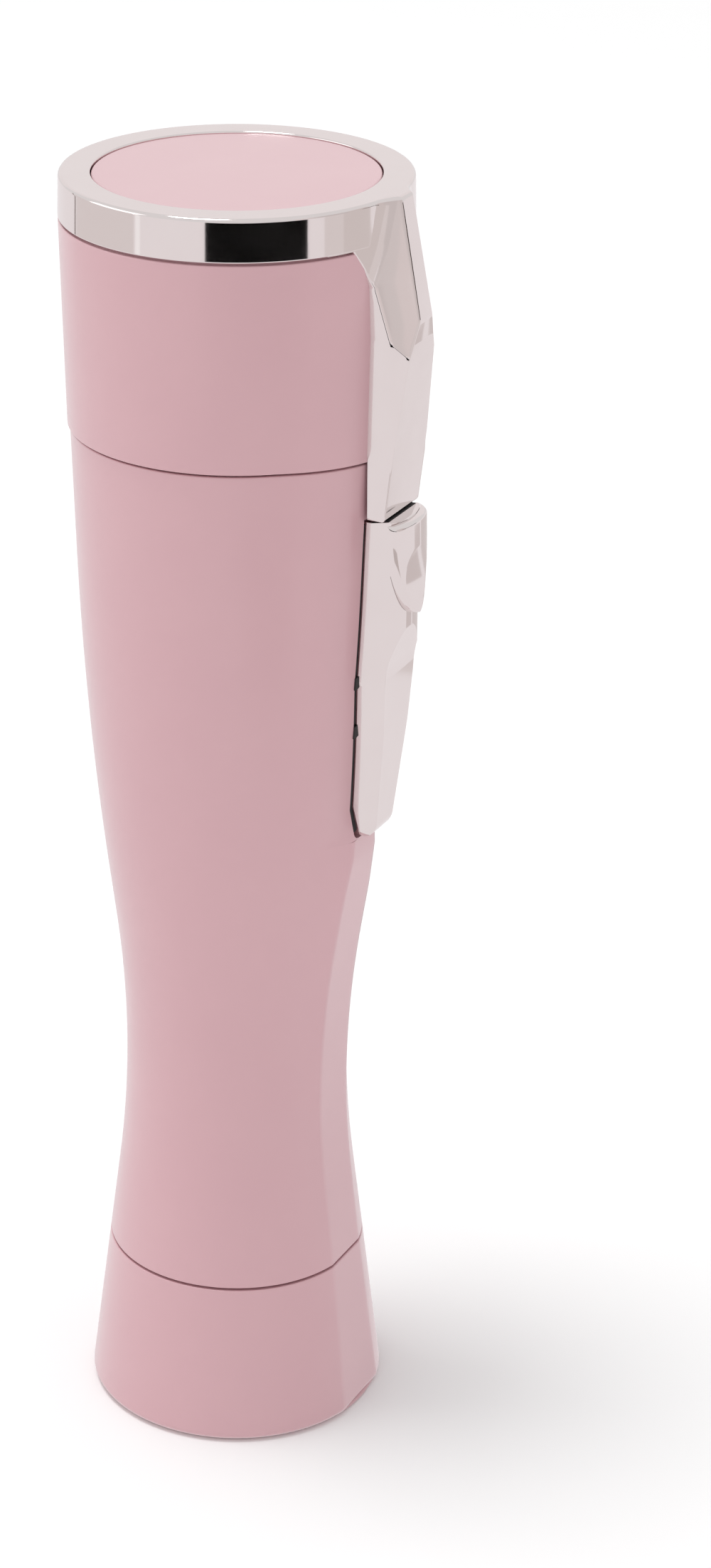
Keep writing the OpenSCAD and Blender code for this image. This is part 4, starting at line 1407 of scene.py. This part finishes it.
        room = half - tip
        tip_share, side_share = self.knee_shares
        meet = max(meet, tip + tip_share * room)
        meet = min(meet, half - min(self.facet_least, side_share * room))
        near = max(tip, meet - self.facet_least)
        corner = (half, face(half))
        knee = (meet, face(meet))
        if height > self.ring_low:
            count = len(self.side_drops)
            asides = [self.flow_half + (half - self.flow_half) * i / count for i in range(count)]
            asides += [half - self.flank_step * i for i in range(EASE_STEPS + 1)]
            line = [(aside, face(aside)) for aside in asides]
        else:
            line = [(half, corner[1] - drop) for drop in self.side_drops]
            line += eased(line[-1], corner, knee, self.corner_round)
        line += eased(corner, knee, (near, face(near)), self.knee_round)
        start = line[-1][0]
        end = tip + min(self.ridge_round, self.ridge_share * (start - tip))
        # The shield sags in a parabola between the front facet and the brink of the hollow arc
        brink = min(start, hollow.ends[0])
        dip = self.shield_dip * 4 * (1 + self.shield_slope ** 2) if shielded else 0.0
        for i in range(1, SHIELD_STEPS):
            share = (1 - math.cos(math.pi * i / SHIELD_STEPS)) / 2
            aside = start + (end - start) * share
            sunk = dip * max(0.0, brink - aside) * (aside - tip)
            line.append((aside, face(aside) - sunk))
        line += eased(line[-1], (tip, face(tip)), (0.0, front), self.ridge_round)
        return [(line[0][0], self.tongue_back), *line, (0.0, front)]

    def tongue_levels(self) -> list[Point]:
        """Gives the heights of the tongue's sections.

        Returns:
            Heights in order, each with how far its section is drawn in.
        """
        chin = [(self.tongue_low + lift, pull) for lift, pull in self.chin_rows]
        brow = self.top - self.ring_round - HAIR
        ridge = self.ridge[1]
        beside, clear = self.ridge_rows
        wall = [ridge - beside, ridge + beside, self.ring_low - HAIR, self.ring_low + HAIR]
        low = chin[-1][0]
        top_steps = ((self.ring_low, self.top_row_step), (brow, self.top_row_step))
        for high, step in (*self.row_steps, *top_steps):
            count = math.ceil((high - low) / step)
            rows = [low + (high - low) * i / count for i in range(1, count)]
            wall += [z for z in rows if abs(z - ridge) > clear]
            low = high
        turns = [i * math.pi / (2 * BROW_STEPS) for i in range(BROW_STEPS + 1)]
        crown = [
            (brow + self.ring_round * math.sin(turn), self.ring_round * (1 - math.cos(turn)))
            for turn in turns
        ]
        return chin + [(z, 0.0) for z in sorted(wall)] + crown

    def tongue(self) -> bmesh.types.BMesh:
        """Makes the faceted tongue that flows out of the ring and hangs down the front.

        Returns:
            The closed solid.
        """
        levels = self.tongue_levels()
        sections = []
        for height, _ in levels:
            half = self.half_section(height)
            sections.append(half + [(-aside, out) for aside, out in reversed(half[:-1])])
        columns = len(sections[0]) - 1
        rows = len(levels) - 1
        bm = bmesh.new()
        bmesh.ops.create_grid(bm, x_segments=columns, y_segments=rows, size=1.0)
        for vert in bm.verts:
            row = round((vert.co.y + 1) / 2 * rows)
            aside, out = sections[row][round((vert.co.x + 1) / 2 * columns)]
            height, pull = levels[row]
            keep = 1 - pull / self.ring_r[1]
            vert.co = (aside * keep, min(-out * keep, -self.tongue_back), height)
        rim = [edge for edge in bm.edges if edge.is_boundary]
        for item in bmesh.ops.extrude_edge_only(bm, edges=rim)["geom"]:
            if isinstance(item, bmesh.types.BMVert):
                item.co.y = -self.tongue_back
        bmesh.ops.remove_doubles(bm, verts=bm.verts, dist=WELD)
        bmesh.ops.holes_fill(bm, edges=[edge for edge in bm.edges if edge.is_boundary], sides=0)
        tidy(bm)
        under = Vector((0, -self.chin_out, self.tongue_low))
        facing = Vector((0, *self.chin_facing))
        carve(bm, under, facing)
        soften(bm, self.chin_edge, segments=2, where=lambda edge: all(
            abs((vert.co - under).dot(facing)) < ON_PLANE for vert in edge.verts))
        bore_low, bore_high = self.bore_span
        step_z = self.ring_low - self.bore_step
        ring_in = self.ring_r[1] - self.ring_lap
        bore = lathe([
            (0.0, bore_low),
            (self.sleeve_clear, bore_low),
            (self.sleeve_clear, self.low),
            (self.low_r - self.skirt_lap, self.low),
            (self.high_r - self.skirt_lap, step_z),
            (ring_in, step_z),
            (ring_in, bore_high),
            (0.0, bore_high),
        ])
        return combine(bm, bore, Cut.TAKE_OUT)


@dataclass(frozen=True)
class SwitchPanel:
    """Plated panel on the front: a tapered block whose upper part is arched."""

    seat: PanelSeat
    toe: Point = (19.85 * MM, 80.8 * MM)
    foot: Point = (21.3 * MM, 95 * MM)
    knee: Point = (21.75 * MM, 103.5 * MM)
    crown: Point = (22.9 * MM, 108.5 * MM)
    nose: tuple[Point, Point] = ((22.9 * MM, 122.0 * MM), (21.76 * MM, 122.28 * MM))
    shelf_out: float = 19.5 * MM
    toe_round: float = 2.5 * MM
    bends: tuple[float, float, float] = (40 * MM, 12 * MM, 4 * MM)
    nose_rounds: Point = (0.3 * MM, 0.1 * MM)
    arch_r: float = 9.32 * MM
    arch_low: float = 60 * MM
    toe_corner: float = 0.9 * MM
    toe_drop: float = 0.05 * MM
    taper_bend: float = 6 * MM
    edge: float = 0.35 * MM
    edge_steps: int = 12
    edge_from: Point = (1 * MM, 19 * MM)
    blank_out: Point = (10 * MM, 30 * MM)
    blank_half: float = 8 * MM
    blank_top: float = 130 * MM
    crisp: float = math.radians(9)
    # Dark strips that paint the shade in the gaps beside the panel
    strip_rows: int = 40
    strip_start: float = 0.6 * MM
    strip_short: float = 1 * MM
    strip_under: float = 0.2 * MM
    strip_clear: float = 0.03 * MM
    strip_deep: float = 0.5 * MM
    strip_drop: float = 0.15 * MM
    # Dark blocks that paint the shade in the snap-fit notches beside the panel
    notch_shade_heights: Point = (95 * MM, 101.5 * MM)
    notch_shade_size: tuple[float, float, float] = (0.7 * MM, 1 * MM, 1.5 * MM)
    notch_shade_share: float = 0.3
    notch_shade_sunk: float = 0.4 * MM
    # A dark block that paints the shade in the gap between the panel's nose and the tongue's chin
    nose_gap_shade_half: float = 3.45 * MM
    nose_gap_shade_out: Point = (19.7 * MM, 21.7 * MM)
    nose_gap_shade_high: Point = (121.9 * MM, 122.31 * MM)

    @property
    def arch_axis(self) -> float:
        """How far out the axis of the arch lies."""
        return self.crown[0] - self.arch_r

    def build(self, outline: Outline) -> None:
        """Makes the panel, and the dark strips and blocks that paint the shade in its gaps.

        Args:
            outline: Outer line of the handle that it sits in.
        """
        place_piece(self.block(), "switch_panel_plate", "handle", ["switch_panel"],
                    "bright_chrome", crisp=self.crisp)
        # Dark strips and blocks that paint the shade in the gaps round the panel
        place_piece(self.painted_gap_shade(outline), "panel_painted_gap_shade", "handle", [], "black_plastic")

    def block(self) -> bmesh.types.BMesh:
        """Makes the panel's solid.

        Returns:
            The closed solid.
        """
        seat = self.seat
        deep, proud = self.blank_out
        wide, high = self.blank_half, self.blank_top
        right, up = Vector((1, 0, 0)), Vector((0, 0, 1))
        side = filleted([
            (deep, seat.low, 0.0),
            (*self.toe, self.toe_round),
            (*self.foot, self.bends[0]),
            (*self.knee, self.bends[1]),
            (*self.crown, self.bends[2]),
            (*self.nose[0], self.nose_rounds[0]),
            (*self.nose[1], self.nose_rounds[1]),
            (self.shelf_out, seat.high, 0.0),
            (deep, seat.high, 0.0),
        ], steps=12)
        bm = prism(side, Vector((0, -1, 0)), up, -wide * right, 2 * wide * right)
        full = seat.low + (seat.half_w - seat.low_half) / seat.taper
        toe = seat.low - self.toe_drop
        face = filleted([
            (0.0, high, 0.0),
            (-seat.half_w, high, 0.0),
            (-seat.half_w, full, self.taper_bend),
            (-seat.low_half, toe, self.toe_corner),
            (seat.low_half, toe, self.toe_corner),
            (seat.half_w, full, self.taper_bend),
            (seat.half_w, high, 0.0),
            (0.0, high, 0.0),
        ], steps=8)[:-1]
        front = prism(face, right, up, Vector((0, 0, 0)), Vector((0, -proud, 0)))
        bm = combine(bm, front, Cut.KEEP_COMMON)
        (low_out, low_z), (high_out, high_z) = seat.back
        carve(bm, Vector((0, -low_out, low_z)), Vector((0, high_z - low_z, high_out - low_out)))
        aside, out = self.edge_from
        soften(bm, self.edge, self.edge_steps, where=lambda edge: all(
            abs(vert.co.x) > aside and -vert.co.y > out for vert in edge.verts))
        arch = lathe([
            (0.0, self.arch_low),
            (self.arch_r, self.arch_low),
            (self.arch_r, high),
            (0.0, high),
        ])
        bmesh.ops.translate(arch, verts=arch.verts, vec=(0, -self.arch_axis, 0))
        return combine(bm, arch, Cut.KEEP_COMMON)

    def painted_gap_shade(self, outline: Outline) -> bmesh.types.BMesh:
        """Makes the dark strips that paint the shade in the gaps beside the panel and above it, and
        the four blocks of painted shade in the notches beside it.

        Args:
            outline: Outer line of the handle.

        Returns:
            The strips and blocks of painted shade, as one mesh of closed solids.
        """
        seat = self.seat
        bm = bmesh.new()
        rows = self.strip_rows
        start, run = seat.low + self.strip_start, seat.high - seat.low - self.strip_short
        # Strips of painted shade down the gaps beside the panel, just below the pink surface
        for hand in (-1, 1):
            face = None
            for row in range(rows + 1):
                height = start + run * row / rows
                inner = seat.half_at(height) - self.strip_under
                outer = seat.half_at(height) + seat.gap_at(height) - self.strip_clear
                out = outline.rim_r(outer, height)
                top = math.sqrt(out ** 2 - outer ** 2) - self.strip_drop
                foot = top - self.strip_deep
                section = [(inner, top), (outer, top), (outer, foot), (inner, foot)]
                corners = [Vector((hand * aside, -depth, height)) for aside, depth in section]
                if face is None:
                    face = bm.faces.new([bm.verts.new(corner) for corner in corners])
                    continue
                face = bmesh.ops.extrude_discrete_faces(bm, faces=[face])["faces"][0]
                for vert, corner in zip(face.verts, corners):
                    vert.co = corner
            bmesh.ops.holes_fill(bm, edges=[edge for edge in bm.edges if edge.is_boundary], sides=4)
            # Blocks of painted shade in the snap-fit notches beside the panel
            for height in self.notch_shade_heights:
                out = outline.radius_at(height)
                middle = seat.half_at(height) + self.notch_shade_share * seat.gap_at(height)
                depth = math.sqrt(out ** 2 - middle ** 2) - self.notch_shade_sunk
                add_block(bm, self.notch_shade_size, (hand * middle, -depth, height))
        # A block of painted shade in the gap between the panel's nose and the tongue's chin
        (near, far), (low, high) = self.nose_gap_shade_out, self.nose_gap_shade_high
        add_block(bm, (2 * self.nose_gap_shade_half, far - near, high - low),
                  (0, -(near + far) / 2, (low + high) / 2))
        tidy(bm)
        return bm


@dataclass(frozen=True)
class ThumbButton:
    """Plated thumb piece that slides on the arch of the panel, dished for the thumb."""

    panel: SwitchPanel
    low: float = 110.3 * MM
    top: float = 121.95 * MM
    shoulder: float = 119.6 * MM
    half: float = 4.4 * MM
    toe_power: float = 1.6
    thick: Point = (1.33 * MM, 0.80 * MM)
    lift: float = 0.03 * MM
    rounding: Point = (0.7 * MM, 0.6 * MM)
    dish_z: float = 114.9 * MM
    dish_half: Point = (3.0 * MM, 3.6 * MM)
    dish_depth: float = 0.30 * MM
    rim_line: Point = (0.035 * MM, 0.06)
    rim_fade: Point = (2.4 * MM, 3 * MM)
    mesh_steps: tuple[int, int] = (110, 150)
    crisp: float = math.radians(50)

    def build(self) -> None:
        """Makes the button."""
        place_piece(self.shell(), "thumb_slider", "slide_button", ["thumb_button"], "bright_chrome",
                    crisp=self.crisp)

    def half_at(self, height: float) -> float:
        """Gives the button's half width at a height."""
        down = max(0.0, (self.shoulder - height) / (self.shoulder - self.low))
        return self.half * math.sqrt(max(0.0, 1 - down ** self.toe_power))

    def thick_at(self, aside: float, height: float) -> float:
        """Gives the button's thickness at a point, with its rounded edge and its dish.

        Args:
            aside: Distance of the point from the middle.
            height: Height of the point.

        Returns:
            The thickness there.
        """
        share = (height - self.low) / (self.top - self.low)
        thick = self.thick[0] + (self.thick[1] - self.thick[0]) * math.sqrt(max(0.0, share))
        insides = (self.half_at(height) - abs(aside), self.top - height)
        for inside, rounding in zip(insides, self.rounding):
            left = 1 - clamped(inside / rounding)
            thick *= math.sqrt(1 - left * left)
        up = height - self.dish_z
        reach = math.hypot(aside / self.dish_half[0], up / self.dish_half[1])
        if reach < 1:
            thick -= self.dish_depth * (1 - reach ** 2)
        depth, spread = self.rim_line
        fade = clamped((self.rim_fade[0] - up) / self.rim_fade[1])
        thick -= depth * fade * math.exp(-((reach - 1) / spread) ** 2)
        return max(thick, 0.0)

    def shell(self) -> bmesh.types.BMesh:
        """Makes the button's solid: a curved back and a rounded, dished front.

        Returns:
            The closed solid.
        """
        bm = bmesh.new()
        across, along = self.mesh_steps
        bmesh.ops.create_grid(bm, x_segments=across, y_segments=along, size=1.0)
        bmesh.ops.duplicate(bm, geom=bm.verts[:] + bm.edges[:] + bm.faces[:])
        bm.verts.ensure_lookup_table()
        front = len(bm.verts) // 2
        for index, vert in enumerate(bm.verts):
            height = self.low + (self.top - self.low) * (1 + math.sin(vert.co.y * math.pi / 2)) / 2
            aside = math.sin(vert.co.x * math.pi / 2) * self.half_at(height)
            proud = self.lift + (self.thick_at(aside, height) if index < front else 0.0)
            radius = self.panel.arch_r + proud
            vert.co = (aside, -self.panel.arch_axis - math.sqrt(radius ** 2 - aside ** 2), height)
        tidy(bm)
        return bm


def dress_nodes(frame: dict) -> None:
    """Gives every node of the frame the finish of its material slot.

    Args:
        frame: What the frame holds.
    """
    for row in frame["record"]["subparts"]:
        node = frame["nodes"][row["node"]]
        finish = SLOT_FINISHES[row["material_slot"]].material()
        node.data.materials.clear()
        node.data.materials.append(finish)


def main() -> None:
    """Builds the scene."""
    logging.basicConfig(level=logging.INFO, format="%(name)s: %(message)s")
    view = Viewpoint()
    view.build()
    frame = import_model()
    Studio().build(view)
    dress_nodes(frame)
    outline = Outline()
    seat = PanelSeat()
    Handle(outline, seat).build()
    Cap().build()
    panel = SwitchPanel(seat)
    panel.build(outline)
    ThumbButton(panel).build()


if __name__ == "__main__":
    main()
